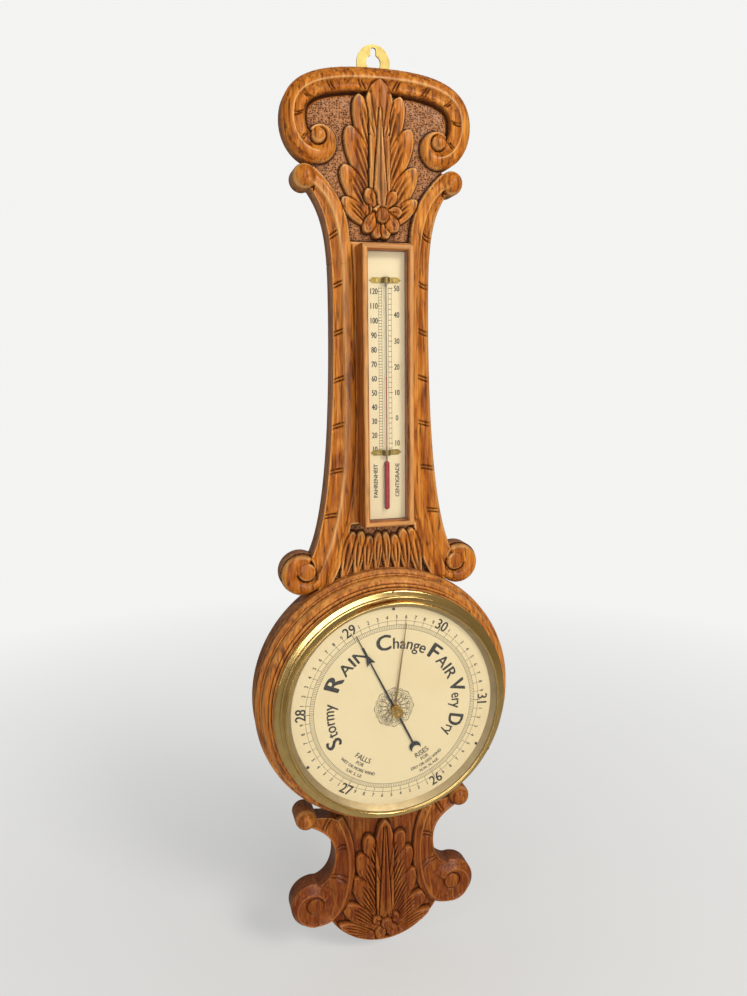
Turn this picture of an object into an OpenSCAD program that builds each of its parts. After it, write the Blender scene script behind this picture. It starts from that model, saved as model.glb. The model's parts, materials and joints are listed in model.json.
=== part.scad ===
// Aneroid banjo barometer in a carved oak case, with an alcohol thermometer.
// Millimetres. X is right, Y goes into the wall, Z is up.
// The origin is the centre of the hanging hole, on the wall plane.

/* [Case outline] */
// Height of the hanging hole above the top edge of the crest
hole_rise = 9; // [8:0.5:12]
// Crest, from its top edge down to the shoulder balls
crest_h = 92; // [88:1:110]
// Crest, widest
crest_w = 171; // [165:1:190]
// Width of the carved band round the crest
crest_band_w = 19.5; // [16:0.5:22]
// Radius of the volutes that end the crest band
crest_volute_r = 19; // [16:0.5:21]
// Neck, from the shoulder balls down to the lower volutes
neck_h = 352; // [309:1:409]
// Neck, at its narrowest
neck_w = 89; // [84:1:100]
// Width of the notched cove along each edge of the neck
neck_cove_w = 10; // [7:0.5:12]
// Height of the lower volutes' centres above the top of the dial surround
volute_gap = -2; // [-3:0.5:8]
// Radius of the lower volutes
volute_r = 20; // [16:0.5:22]
// Radius of the shoulder and tail balls
ball_r = 10.5; // [8:0.5:12]
// Tail, from the dial surround down to its lowest point
tail_h = 146; // [140:0.5:160]
// Tail, at its narrowest
tail_waist_w = 103; // [96:1:112]
// Radius of the tail volutes
tail_volute_r = 23; // [18:0.5:25]

/* [Case depths] */
// Thickness of the board at its bands and rails
board_t = 23; // [20:0.5:30]
// Depth of the coves below the bands
cove_d = 3; // [1:0.5:5]
// Depth of the punched ground below the bands
ground_drop = 8; // [5:0.5:10]
// Height of the carved leaves above the ground
relief_h = 5.5; // [3:0.5:7]

/* [Dial surround and bezel] */
// Radius of the sight opening in the bezel
sight_r = 101.6; // [98:0.2:112]
// Width of the bezel round the sight opening
bezel_w = 11.4; // [10.6:0.1:13]
// Width of the turned surround round the bezel
ring_w = 14; // [12:0.5:18]
// Height of the surround above the board
ring_h = 30; // [28:0.5:38]
// Width of the ledge in the surround that carries the dial
dial_ledge_w = 16; // [12:0.5:18]
// Thickness of the lip that holds the glass
lip_t = 1.3; // [0.8:0.1:2]
// Thickness of the dial glass
glass_t = 2; // [1.5:0.1:3]
// Height of the sight ring between dial and glass
sight_h = 5.2; // [5:0.1:8]
// Slope of the sight ring, as a step in radius
sight_slope = 4; // [2:0.5:5]
// Thickness of the dial plate
dial_t = 2; // [1:0.1:3]

/* [Hands] */
// Angle of the indicator hand, clockwise from the top
hand_angle = -26; // [-180:1:180]
// Angle of the set hand, clockwise from the top
set_angle = 8; // [-180:1:180]
// Length of the indicator hand from the arbor to its point
hand_len = 83; // [70:1:90]
// Length of the indicator hand's tail
tail_len = 52; // [40:1:60]
// Length of the set hand
set_len = 84; // [60:1:92]
// Radius of the set-hand knob
knob_r = 5.5; // [4:0.5:8]
// Height of the set-hand knob
knob_h = 6.5; // [5:0.5:10]

/* [Thermometer] */
// Width of the thermometer box
box_w = 47; // [42:1:52]
// Depth of the thermometer box in front of the board
box_d = 23; // [22.5:0.5:27]
// Thickness of the box walls
box_wall = 5.2; // [4:0.2:6]
// Gap from the lower volutes' height up to the box
box_foot_gap = 46; // [43:1:54]
// Gap from the top of the box up to the shoulder balls
box_head_gap = 57; // [52:1:65]
// Thickness of the block behind the scale plate
backing_t = 8; // [6:0.5:8]
// Thickness of the scale plate
scale_t = 3; // [2:0.2:3.2]
// Radius of the thermometer tube
tube_r = 2.4; // [2:0.1:2.6]
// Radius of the spirit bulb's glass
bulb_r = 3; // [2.8:0.1:3.2]
// Length of the spirit bulb
bulb_len = 46; // [30:1:50]
// Height of the spirit in the tube above the bulb
spirit_h = 75; // [20:1:140]

/* [Hanging plate] */
// Radius of the hanging hole
hang_hole_r = 6.5; // [4:0.5:7]
// Width of the slot above the hanging hole
hang_slot_w = 5; // [3:0.5:6]
// Width of the hanging plate
hang_w = 30; // [24:1:40]
// Thickness of the hanging plate
hang_t = 2; // [1.5:0.1:3]
// Length of the hanging plate below the hole
hang_len = 46; // [40:1:60]

/* [Movement] */
// Radius of the hole through the board for the movement
well_r = 78; // [76:0.5:84]
// Thickness of the back cover
cover_t = 6; // [4:0.5:8]
// Space between the back cover and the movement plate
rear_gap = 6; // [5:0.5:8]
// Thickness of the movement plate
plate_t = 2; // [1.5:0.1:3]
// Radius of the vacuum capsule
capsule_r = 28; // [24:0.5:29]
// Height of the vacuum capsule
capsule_h = 9.4; // [8:0.1:10.4]
// Distance from the capsule post to the bend of the main spring
spring_reach = 32.5; // [30:0.5:34]
// Distance from the capsule post to the link rod
lever_reach = 48; // [46:0.5:52]
// Length of the rocker's short arm
short_arm = 5; // [4:0.5:7]
// Turn of the rocker for each degree that the hand turns
rocker_ratio = 0.0549; // [0.045:0.0005:0.06]
// Height of the rocker shaft in front of the movement plate
rocker_lift = 8; // [7:0.5:9]
// Turns of the hairspring
coil_turns = 4; // [3:1:5]

/* [Clearances] */
// Radial running clearance of a shaft in its hole
run_gap = 0.05; // [0.02:0.01:0.08]
// Gap beside pieces that are laid or slid into place
fit_gap = 0.3; // [0.2:0.05:0.5]

/* [Hidden] */
$fn = 96;

oak = "peru";
dark_oak = "sienna";
brass = "gold";
steel = "silver";
blued = "midnightblue";
ivory = "ivory";

// Surround and bezel radii
bezel_r = sight_r + bezel_w;
ring_r = bezel_r + ring_w;
seat_w = 4;
seat_r = bezel_r - seat_w;
dial_r = sight_r + 2.4;
ring_bore_r = dial_r - dial_ledge_w;
glass_r = dial_r - 0.1;
bezel_bore = dial_r + fit_gap;

// Heights above the dial centre
volute_rise = ring_r + volute_gap;
tail_drop = ring_r + tail_h;
ball_z = volute_rise + neck_h;
crest_z = ball_z + crest_h;
dial_drop = crest_z + hole_rise;
box_z0 = volute_rise + box_foot_gap;
box_z1 = ball_z - box_head_gap;
box_mid = (box_z0 + box_z1) / 2;

// Depths in front of the wall
ground_d = board_t - ground_drop;
relief_d = ground_d + relief_h;
cove_top = board_t - cove_d;
land_d = board_t + ring_h;
seat_d = land_d - 3;
dial_d = land_d + dial_t;
glass_d = dial_d + sight_h;
lip_d = glass_d + glass_t;
bezel_d = lip_d + lip_t;
box_front = board_t + box_d;
backing_d = board_t + backing_t;
scale_d = backing_d + scale_t;

// Crest and neck shape
crest_half = crest_w / 2;
crest_volute = [0.63 * crest_half, crest_z - 62];
crest_side_z = crest_z - 44;
crest_ridge_w = crest_band_w / 2;
neck_half = neck_w / 2;
ball_x = neck_half + 22.5;
ball_in = 4;
ridge_half = neck_half - neck_cove_w;
waist_z = volute_rise + 0.71 * neck_h;
volute_x = neck_half + 33;
head_field_z = box_z1 + 4;
foot_field_z = box_z0 - 1;
seam = 0.5;
cut = 1;
press_gap = 0.02;
curve_steps = 10;

// Carving: lobes as foot and tip, across and up from the shoulder balls, the dial centre or the tail's foot
root = 1;
groove_d = 2.5;
eye_rise = 2;
ball_sink = 5;
bud_r = 4.5;
bud_rise = 3;
petal_turns = [0:72:288];
crest_stem_z = ball_z - 29;
crest_lobes = [[7, 30, 19, 67, 12], [8, 1, 26, 42, 13], [8, -18, 32, 10, 13], [8, -30, 33, -15, 11]];
foot_tongues = [[0, 2, 0, 34, 10], [10, 3, 9.5, 32, 9], [20, 1, 18, 35, 10], [36, -4, 26, 33, 11]];
tail_stem_z = 23 - tail_drop;
tail_lobes = [[5, 68, 20, 96, 12], [6, 48, 28, 77, 13], [7, 22, 32, 52, 13], [10, 10, 42, 22, 12]];

// Tail shape
waist_half = tail_waist_w / 2;
tail_rail_w = 14;
tail_band_w = 6.5;
tail_ridge = waist_half - tail_rail_w;
tail_ball = [waist_half + 28.5, 5 - ring_r];
tail_volute = [waist_half + 22, 53.5 - tail_drop];
tail_waist_z = tail_ball[1] - 43;
tail_ridge_z = tail_ball[1] - 55;
tail_foot_z = tail_volute[1] - tail_volute_r + 3;
tail_round = 65;

// Surround and bezel shape
bead_r = 2.6;
ovolo_r = 5;
bead_seats = [0.07, 0.2, 0.7];
ovolo_seat = 0.43;
screw_turns = [0, 120, 240];
dial_screw_r = sight_r - sight_slope - 1.6;
bezel_screw_r = (seat_r + fit_gap + bezel_r) / 2;
bezel_screw_d = land_d + 0.6;
bezel_head_r = 1.4;
bezel_head_t = 1;
dial_head_r = 1.3;
dial_head_t = 0.7;
front_screw_len = 6;
shank_r = 0.8;
shank_hole_r = shank_r + run_gap;
flat_head_r = 2;
flat_head_t = 1;
slot_w = 0.6;
slot_d = 0.4;

// Movement layout
plate_back = cover_t + rear_gap;
plate_front = plate_back + plate_t;
capsule_d = plate_front + 1;
capsule_mid = capsule_d + capsule_h / 2;
capsule_top = capsule_d + capsule_h;
bar_d = capsule_top + 2.5;
bar_t = 3;
leaf_t = 0.8;
leaf_gap = 4.4;
leaf_d = bar_d + bar_t;
upper_leaf_d = leaf_d + leaf_t + leaf_gap;
lever_d = upper_leaf_d + leaf_t;
lever_t = 1.5;
post_top = lever_d + 2.3;
cock_d = lever_d + lever_t + 3;
cock_t = 1.5;
drum_d = cock_d + cock_t + 1.5;
drum_h = 2;
coil_d = drum_d + drum_h + 1;
coil_h = 0.8;
bridge_d = coil_d + coil_h + 1.2;
bridge_t = 1.5;
rocker_d = plate_front + rocker_lift;
rocker_z = -lever_reach - short_arm;
long_arm = drum_d + drum_h / 2 - rocker_d;
drum_r = long_arm * rocker_ratio;
arm_x = -12;
ear_x = [arm_x - 10, 14];
ear_t = 2;
plate_r = norm([ear_x[0], rocker_z - 5]) + 2;
pillar_r = 3;
pillar_ring = plate_r - 2 * pillar_r;
post_x = capsule_r + 6;
bar_half = capsule_r + 14;
bar_z = [12, 28];
bar_leg = 5;
adjuster_z = bar_z[1] + 7;
arbor_r = 0.9;
link_r = 0.5;
link_pin_r = 0.4;
link_play = 0.35;
pivot_r = 0.6;
pivot_body_r = 1.2;
pivot_len = 1.6;
lever_screw_z = [-8, -13];
bridge_post_x = 16;
stud_r = 0.6;
pin_lift = 0.8;
post_pin_r = 0.6;
coil_r = [2.4, 9];
coil_w = 0.3;
ledge_w = 6;
cover_r = well_r + ledge_w;
thread_r = 1.5;
head_r = 3;
wood_screw_len = 9;
pilot_len = wood_screw_len + 0.5;
cover_screw_r = well_r + ledge_w / 2;
adjuster_hole_r = 5;

// Hand stack in front of the dial
hand_t = 0.5;
hand_boss_r = 4;
moon_r = 5.5;
set_t = 0.4;
set_boss_r = 3;
hand_d = dial_d + 1.2;
collet_d = hand_d + hand_t + 0.4;
spindle_r = 1.5;
spindle_d = collet_d + 0.4;
set_d = spindle_d + 0.4;
nut_t = 0.9;
bush_r = 2.9;
flange_r = 4.6;
flange_t = 0.8;
collet_r = 1.6;

// Spirit thermometer
pane_t = 2;
pane_d = box_front - 3;
pane_lap = 2;
box_in_w = box_w - 2 * box_wall;
box_in_h = box_z1 - box_z0 - 2 * box_wall;
bore_r = 0.5;
glass_wall = 0.7;
tube_d = scale_d + bulb_r + 0.1;
bulb_z = box_z0 + 14;
tube_top = box_z1 - 23;
clip_t = 0.6;
clip_z = [bulb_z + bulb_len + 7, tube_top - 7];
clip_half = 14.5;
clip_h = 5;
clip_point = 3;
pin_x = 8;
pin_d = board_t - 6;
pin_head_r = 1.5;
pin_head_t = 0.7;

function bezier(a, b, c, d) = [
    for (i = [0:curve_steps])
        let (t = i / curve_steps, u = 1 - t)
            u * u * u * a + 3 * u * u * t * b + 3 * u * t * t * c + t * t * t * d
];
function flip(points) = [for (p = points) [-p[0], p[1]]];
function back_order(points) = [for (i = [len(points) - 1:-1:0]) points[i]];
function both_sides(points) = concat(points, back_order(flip(points)));

// Edge of the crest at an inset from its outline, from the top centre to the side
function crest_top_edge(inset) =
    let (w = crest_half - inset, z = crest_z - inset)
        bezier([0, z], [0.55 * w, z], [w, crest_z - 6 - 0.35 * inset], [w, crest_side_z]);
function crest_side_edge() =
    let (low = crest_volute[1] - crest_volute_r)
        bezier([crest_half, crest_side_z], [crest_half, crest_side_z - 20],
               [crest_volute[0] + 18, low], [crest_volute[0], low]);

// Edges of the neck, from the shoulder ball down to the lower volute
function neck_edge() = concat(
    bezier([ball_x - ball_in, ball_z - ball_r + 1.5], [neck_half + 3, ball_z - 30],
           [neck_half, ball_z - 53], [neck_half, waist_z]),
    bezier([neck_half, waist_z], [neck_half, waist_z - 104],
           [neck_half + 6, volute_rise + 51], [volute_x - 8.5, volute_rise + 15]));
function neck_ridge() = concat(
    bezier([ball_x - ball_in, ball_z - ball_in], [ridge_half + 6, ball_z - 16],
           [ridge_half, ball_z - 45], [ridge_half, waist_z]),
    bezier([ridge_half, waist_z], [ridge_half, waist_z - 99],
           [ridge_half - 4, volute_rise + 66], [volute_x - 16, volute_rise]));
function head_field_edge() =
    bezier([ridge_half - 6.5, head_field_z], [ridge_half - 6, head_field_z + 21],
           [ridge_half, ball_z - 13], [ball_x - 2 * ball_in, ball_z + ball_r - 2]);
function foot_field_edge() =
    bezier([volute_x - 25, volute_rise - 16], [volute_x - 35, volute_rise],
           [ridge_half, volute_rise + 21], [ridge_half - 4, foot_field_z]);

// Edges of the tail, from the dial down to the tail volutes
function tail_edge() = concat(
    bezier([tail_ball[0] - ball_in, tail_ball[1] - ball_r + 2], [waist_half + 6, tail_ball[1] - 18],
           [waist_half, tail_waist_z + 15], [waist_half, tail_waist_z]),
    bezier([waist_half, tail_waist_z], [waist_half, tail_waist_z - 17],
           [waist_half + 9, tail_volute[1] + tail_volute_r],
           [tail_volute[0], tail_volute[1] + tail_volute_r - 1]));
function tail_inner(inset) =
    let (w = tail_ridge - inset, low = tail_foot_z - inset / 2)
        concat(bezier([w + 12, tail_ball[1] - 4], [w + 4, tail_ball[1] - 20],
                      [w, tail_ridge_z + 21], [w, tail_ridge_z]),
               bezier([w, tail_ridge_z], [w, tail_ridge_z - 32], [w + 10, low], [tail_volute[0] - 4, low]));

// Moulding seats on the slope of the surround, as shares of the way up it
function ring_slope(t) = [ring_r - t * (ring_r - bezel_r), board_t + 2 + t * (seat_d - board_t - 2)];

module at_dial() {
    translate([0, 0, -dial_drop])
        children();
}
// A flat shape drawn as seen from the front, between two depths
module slab(d0, d1) {
    translate([0, -d0, 0])
        rotate([90, 0, 0])
            linear_extrude(d1 - d0)
                children();
}
// A profile of radius and depth, turned about the arbor's line
module turned() {
    rotate([90, 0, 0])
        rotate_extrude()
            children();
}
module rod(x, z, d0, d1, r) {
    translate([x, -d0, z])
        rotate([90, 0, 0])
            cylinder(r = r, h = d1 - d0);
}
module cross_rod(x0, x1, z, d, r) {
    translate([x0, -d, z])
        rotate([0, 90, 0])
            cylinder(r = r, h = x1 - x0);
}
// A screw driven from the front or the back: its head lies between head_d and seat
module screw(x, z, seat, tip, head, head_end, shank) {
    low = min(seat, tip);
    high = max(seat, tip);
    rod(x, z, low, high, shank);
    difference() {
        rod(x, z, min(seat, head_end), max(seat, head_end), head);
        translate([x - head - cut, -(head_end > seat ? head_end + cut : head_end + slot_d), z - slot_w / 2])
            cube([2 * (head + cut), slot_d + cut, slot_w]);
    }
}
// A pointed leaf from its foot to its tip
module leaf(foot, tip, width) {
    length = norm(tip - foot);
    r = (length * length + width * width) / (4 * width);
    translate(foot)
        rotate(atan2(tip[1] - foot[1], tip[0] - foot[0]) - 90)
            intersection() {
                translate([r - width / 2, length / 2])
                    circle(r);
                translate([width / 2 - r, length / 2])
                    circle(r);
            }
}
module spiral_groove(centre, r_out, side, start) {
    turns = 1.4;
    steps = 28;
    groove = 2.2;
    r_in = 0.28 * r_out;
    line = [for (i = [0:steps])
        let (t = i / steps, a = start - side * 360 * turns * t, r = r_out - groove - (r_out - r_in) * t)
            [a, r]];
    outer = [for (p = line) centre + (p[1] + groove / 2) * [cos(p[0]), sin(p[0])]];
    inner = [for (p = line) centre + (p[1] - groove / 2) * [cos(p[0]), sin(p[0])]];
    polygon(concat(outer, back_order(inner)));
}
module volute(centre, r, side, start) {
    c = [side * centre[0], centre[1]];
    difference() {
        rod(c[0], c[1], 0, board_t, r);
        slab(board_t - groove_d, board_t + cut)
            spiral_groove(c, r, side, start);
    }
    rod(c[0], c[1], board_t - groove_d - 0.5, board_t + eye_rise, 0.22 * r);
}
module ball(centre) {
    rod(centre[0], centre[1], 0, board_t - ball_sink, ball_r);
    translate([centre[0], ball_sink - board_t, centre[1]])
        sphere(ball_r);
}
module crest_band() {
    outer = concat(crest_top_edge(0), crest_side_edge());
    ridge = crest_top_edge(crest_ridge_w);
    inner = crest_top_edge(crest_band_w);
    hook = [crest_volute, [crest_half - crest_ridge_w, crest_side_z]];
    slab(0, board_t)
        polygon(both_sides(concat(outer, hook, back_order(ridge))));
    slab(0, cove_top)
        polygon(both_sides(concat(crest_top_edge(crest_ridge_w - seam), [crest_volute], back_order(inner))));
}
module ground() {
    slab(0, ground_d)
        polygon(both_sides(concat(crest_top_edge(crest_ridge_w), [crest_volute],
            [for (p = neck_ridge()) p + [seam, 0]], [[0, volute_rise - 40]])));
    slab(0, ground_d)
        polygon(both_sides(concat([[0, tail_ball[1] + 20]], tail_inner(-seam))));
    slab(0, ground_d)
        intersection() {
            translate([0, tail_round - tail_drop])
                circle(tail_round);
            translate([-tail_volute[0], -tail_drop])
                square([2 * tail_volute[0], tail_drop + tail_volute[1] - 10]);
        }
}
module neck_plate() {
    side = concat(neck_ridge(), foot_field_edge());
    head = head_field_edge();
    slab(0, board_t)
        polygon(concat(head, side, back_order(flip(side)), back_order(flip(head))));
    for (m = [0, 1])
        mirror([m, 0, 0])
            slab(0, cove_top)
                polygon(concat(neck_edge(), [for (p = back_order(neck_ridge())) p - [seam, 0]]));
}
module tail_bands() {
    for (m = [0, 1])
        mirror([m, 0, 0]) {
            slab(0, board_t)
                polygon(concat(tail_inner(0), back_order(tail_inner(tail_band_w))));
            slab(0, cove_top)
                polygon(concat([tail_ball], tail_edge(), [tail_volute], back_order(tail_inner(seam))));
        }
}
// Lobes in pairs on both sides of the middle line, raised from the ground to a depth
module lobes(rows, z, top) {
    for (s = [-1, 1], row = rows)
        slab(ground_d - root, top)
            leaf([s * row[0], z + row[1]], [s * row[2], z + row[3]], row[4]);
}
module flower(z, petal_len, petal_w) {
    for (a = petal_turns)
        slab(ground_d - root, relief_d + 1)
            leaf([0, z], [petal_len * sin(a), z + petal_len * cos(a)], petal_w);
    rod(0, z, ground_d - root, relief_d + bud_rise, bud_r);
}
module crest_carving() {
    slab(ground_d - root, relief_d + 2)
        leaf([0, crest_stem_z], [0, crest_z - 11], 19);
    lobes(crest_lobes, ball_z, relief_d);
    flower(crest_stem_z, 17, 11);
}
module foot_carving() {
    lobes(foot_tongues, ring_r, relief_d);
}
module tail_carving() {
    slab(ground_d - root, relief_d + 2)
        leaf([0, tail_stem_z], [0, 3 - ring_r], 17);
    lobes(tail_lobes, -tail_drop, relief_d);
    flower(tail_stem_z, 15, 10);
}
module hang_shape(grow) {
    translate([-hang_w / 2 - grow, -hang_len - grow])
        square([hang_w + 2 * grow, hang_len + grow]);
    circle(hang_w / 2 + grow);
}
hang_screws = [[0, -22], [-9, -36], [9, -36]];
cover_screw_turns = [45:90:315];
module case_board() {
    color(oak)
        difference() {
            at_dial() {
                union() {
                    ground();
                    crest_band();
                    neck_plate();
                    tail_bands();
                    rod(0, 0, 0, board_t, ring_r - 1);
                    for (s = [-1, 1]) {
                        volute(crest_volute, crest_volute_r, s, s > 0 ? 300 : 240);
                        volute([volute_x, volute_rise], volute_r, s, s > 0 ? 220 : 320);
                        volute(tail_volute, tail_volute_r, s, s > 0 ? 200 : 340);
                        ball([s * ball_x, ball_z]);
                        ball([s * tail_ball[0], tail_ball[1]]);
                    }
                    crest_carving();
                    foot_carving();
                    tail_carving();
                }
            }
            at_dial() {
                rod(0, 0, -1, board_t + 1, well_r);
                rod(0, 0, -1, cover_t, cover_r + fit_gap);
                for (a = cover_screw_turns)
                    rod(cover_screw_r * cos(a), cover_screw_r * sin(a),
                        cover_t - 1, cover_t + pilot_len, shank_hole_r);
                for (z = clip_z, x = [-pin_x, pin_x])
                    rod(x, z, pin_d - 0.5, board_t + cut, shank_hole_r);
            }
            slab(-1, hang_t)
                hang_shape(fit_gap);
            for (p = hang_screws)
                rod(p[0], p[1], hang_t - 1, hang_t + pilot_len, shank_hole_r);
        }
}
module dial_surround() {
    color(oak)
        at_dial()
            difference() {
                turned()
                    union() {
                        polygon([[ring_bore_r, board_t], [ring_r, board_t], ring_slope(0), ring_slope(0.14),
                            ring_slope(0.14) - [1.5, 0], ring_slope(0.6) - [1, -0.5],
                            ring_slope(0.82) - [1.2, 0], ring_slope(1), [seat_r, seat_d],
                            [seat_r, land_d], [ring_bore_r, land_d]]);
                        for (t = bead_seats)
                            translate(ring_slope(t) - [1, 1])
                                circle(bead_r);
                        translate(ring_slope(ovolo_seat) - [ovolo_r, ovolo_r] / 2)
                            circle(ovolo_r);
                    }
                for (a = screw_turns) {
                    rod(dial_screw_r * sin(a), dial_screw_r * cos(a),
                        land_d - front_screw_len - 0.5, land_d + cut, shank_hole_r);
                    rod(bezel_screw_r * sin(a), bezel_screw_r * cos(a),
                        seat_d - front_screw_len - 0.5, seat_d + cut, shank_hole_r);
                }
            }
}
// One wall of the thermometer box, mitred at both ends, with its rebate for the pane
module box_wall_shape(length, turn, reach) {
    half = length / 2;
    color(dark_oak)
        at_dial()
            translate([0, 0, box_mid])
                difference() {
                    slab(board_t, box_front)
                        rotate(turn)
                            polygon([[-half, reach], [half, reach],
                                [half - box_wall, reach - box_wall], [box_wall - half, reach - box_wall]]);
                    slab(pane_d - pane_t - fit_gap, pane_d)
                        square([box_in_w + 2 * (pane_lap + fit_gap), box_in_h + 2 * (pane_lap + fit_gap)],
                               center = true);
                }
}
module thermometer_left_stile() {
    box_wall_shape(box_z1 - box_z0, 90, box_w / 2);
}
module thermometer_right_stile() {
    box_wall_shape(box_z1 - box_z0, -90, box_w / 2);
}
module thermometer_top_rail() {
    box_wall_shape(box_w, 0, (box_z1 - box_z0) / 2);
}
module thermometer_bottom_rail() {
    box_wall_shape(box_w, 180, (box_z1 - box_z0) / 2);
}
module thermometer_glass() {
    color("lightcyan", 0.4)
        at_dial()
            translate([0, 0, box_mid])
                slab(pane_d - pane_t, pane_d)
                    square([box_in_w + 2 * pane_lap, box_in_h + 2 * pane_lap], center = true);
}
// A plate that fills the box between two depths, with the holes for the clip pins
module box_fill(d0, d1) {
    at_dial()
        difference() {
            translate([0, 0, box_mid])
                slab(d0, d1)
                    square([box_in_w - 2 * fit_gap, box_in_h - 2 * fit_gap], center = true);
            for (z = clip_z, x = [-pin_x, pin_x])
                rod(x, z, d0 - 1, d1 + 1, shank_hole_r);
        }
}
module scale_backing() {
    color(dark_oak)
        box_fill(board_t, backing_d);
}
module thermometer_scale() {
    color(ivory)
        box_fill(backing_d, scale_d);
}
// The spirit's space in the tube, or the glass round it, at a wall thickness
module tube_form(wall, top) {
    r = bulb_r - glass_wall + wall;
    translate([0, -tube_d, bulb_z + bulb_r]) {
        sphere(r);
        cylinder(r = r, h = bulb_len - 2 * bulb_r);
        translate([0, 0, bulb_len - 2 * bulb_r])
            sphere(r);
    }
    translate([0, -tube_d, bulb_z + bulb_len - bulb_r])
        cylinder(r = wall < glass_wall ? bore_r + wall : tube_r, h = top - bulb_z - bulb_len + bulb_r);
}
module thermometer_tube() {
    color("azure", 0.5)
        at_dial()
            difference() {
                union() {
                    tube_form(glass_wall, tube_top - tube_r);
                    translate([0, -tube_d, tube_top - tube_r])
                        sphere(tube_r);
                }
                tube_form(0, tube_top - 2 * tube_r);
            }
}
module spirit_column() {
    color("crimson")
        at_dial()
            tube_form(-run_gap, bulb_z + bulb_len + spirit_h);
}
// A strap over the tube, with a pointed foot on each side
module tube_clip(z) {
    saddle_r = tube_r + fit_gap;
    color(brass)
        at_dial()
            difference() {
                union() {
                    slab(scale_d, scale_d + clip_t)
                        polygon([[-clip_half, z], [clip_point - clip_half, z - clip_h / 2],
                            [clip_half - clip_point, z - clip_h / 2], [clip_half, z],
                            [clip_half - clip_point, z + clip_h / 2],
                            [clip_point - clip_half, z + clip_h / 2]]);
                    translate([0, -tube_d, z - clip_h / 2])
                        cylinder(r = saddle_r + clip_t, h = clip_h);
                    translate([-saddle_r - clip_t, -tube_d, z - clip_h / 2])
                        cube([2 * saddle_r + 2 * clip_t, tube_d - scale_d, clip_h]);
                }
                translate([0, -tube_d, z - clip_h])
                    cylinder(r = saddle_r, h = 2 * clip_h);
                translate([-saddle_r, -tube_d, z - clip_h])
                    cube([2 * saddle_r, tube_d - scale_d + bulb_r, 2 * clip_h]);
                translate([-clip_half, -scale_d, z - clip_h])
                    cube([2 * clip_half, bulb_r, 2 * clip_h]);
                for (x = [-pin_x, pin_x])
                    rod(x, z, scale_d - 1, scale_d + clip_t + 1, shank_hole_r);
            }
}
module upper_tube_clip() {
    tube_clip(clip_z[1]);
}
module lower_tube_clip() {
    tube_clip(clip_z[0]);
}
module clip_pins() {
    color(brass)
        at_dial()
            for (z = clip_z, x = [-pin_x, pin_x]) {
                rod(x, z, pin_d, scale_d + clip_t, shank_r);
                rod(x, z, scale_d + clip_t, scale_d + clip_t + pin_head_t, pin_head_r);
            }
}
module hanging_plate() {
    color(brass)
        difference() {
            slab(0, hang_t)
                hang_shape(0);
            rod(0, 0, -1, hang_t + 1, hang_hole_r);
            slab(-1, hang_t + 1) {
                translate([-hang_slot_w / 2, 0])
                    square([hang_slot_w, hang_w / 2 - 5]);
                translate([0, hang_w / 2 - 5])
                    circle(hang_slot_w / 2);
            }
            for (p = hang_screws) {
                rod(p[0], p[1], -1, hang_t + 1, shank_hole_r);
                rod(p[0], p[1], -cut, flat_head_t, flat_head_r + run_gap);
            }
        }
}
module hanging_plate_screws() {
    color(brass)
        for (p = hang_screws)
            screw(p[0], p[1], flat_head_t, hang_t + wood_screw_len, flat_head_r, 0, shank_r);
}
module back_cover() {
    color(dark_oak)
        at_dial()
            difference() {
                rod(0, 0, 0, cover_t, cover_r);
                rod(0, adjuster_z, -cut, cover_t + cut, adjuster_hole_r);
                for (a = cover_screw_turns) {
                    rod(cover_screw_r * cos(a), cover_screw_r * sin(a),
                        -1, cover_t + 1, shank_hole_r);
                    rod(cover_screw_r * cos(a), cover_screw_r * sin(a),
                        -cut, flat_head_t, flat_head_r + run_gap);
                }
            }
}
module back_cover_screws() {
    color(brass)
        at_dial()
            for (a = cover_screw_turns)
                screw(cover_screw_r * cos(a), cover_screw_r * sin(a),
                      flat_head_t, cover_t + wood_screw_len, flat_head_r, 0, shank_r);
}
module bezel() {
    foot = seat_r + fit_gap;
    step = land_d + 0.2;
    color(brass)
        at_dial()
            difference() {
                turned()
                    polygon([[foot, seat_d], [bezel_r, seat_d], [bezel_r, land_d],
                        [bezel_r - 1, land_d + 1.2], [bezel_r - 5.2, land_d + 2],
                        [bezel_r - 5.6, land_d + 3.6], [bezel_r - 6.4, land_d + 4],
                        [sight_r + 2.2, bezel_d - 0.9], [sight_r + 1, bezel_d],
                        [sight_r, bezel_d - 0.4], [sight_r, lip_d], [bezel_bore, lip_d],
                        [bezel_bore, step], [foot, step]]);
                for (a = screw_turns) {
                    rod(bezel_screw_r * sin(a), bezel_screw_r * cos(a), seat_d - 1, bezel_d, shank_hole_r);
                    rod(bezel_screw_r * sin(a), bezel_screw_r * cos(a), bezel_screw_d, bezel_d,
                        bezel_head_r + run_gap);
                }
            }
}
module bezel_screws() {
    color(brass)
        at_dial()
            for (a = screw_turns)
                screw(bezel_screw_r * sin(a), bezel_screw_r * cos(a), bezel_screw_d, seat_d - front_screw_len,
                      bezel_head_r, bezel_screw_d + bezel_head_t, shank_r);
}
module sight_ring() {
    color("whitesmoke")
        at_dial()
            turned()
                polygon([[sight_r - sight_slope, dial_d], [dial_r, dial_d], [dial_r, glass_d],
                    [sight_r, glass_d]]);
}
module dial_glass() {
    color("lightcyan", 0.4)
        at_dial()
            difference() {
                rod(0, 0, glass_d, lip_d, glass_r);
                rod(0, 0, glass_d - 1, lip_d + 1, bush_r + run_gap);
            }
}
module dial_plate() {
    color(ivory)
        at_dial()
            difference() {
                rod(0, 0, land_d, dial_d, dial_r);
                rod(0, 0, land_d - 1, dial_d + 1, collet_r + 1);
                for (a = screw_turns)
                    rod(dial_screw_r * sin(a), dial_screw_r * cos(a), land_d - 1, dial_d + 1, shank_hole_r);
            }
}
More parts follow.
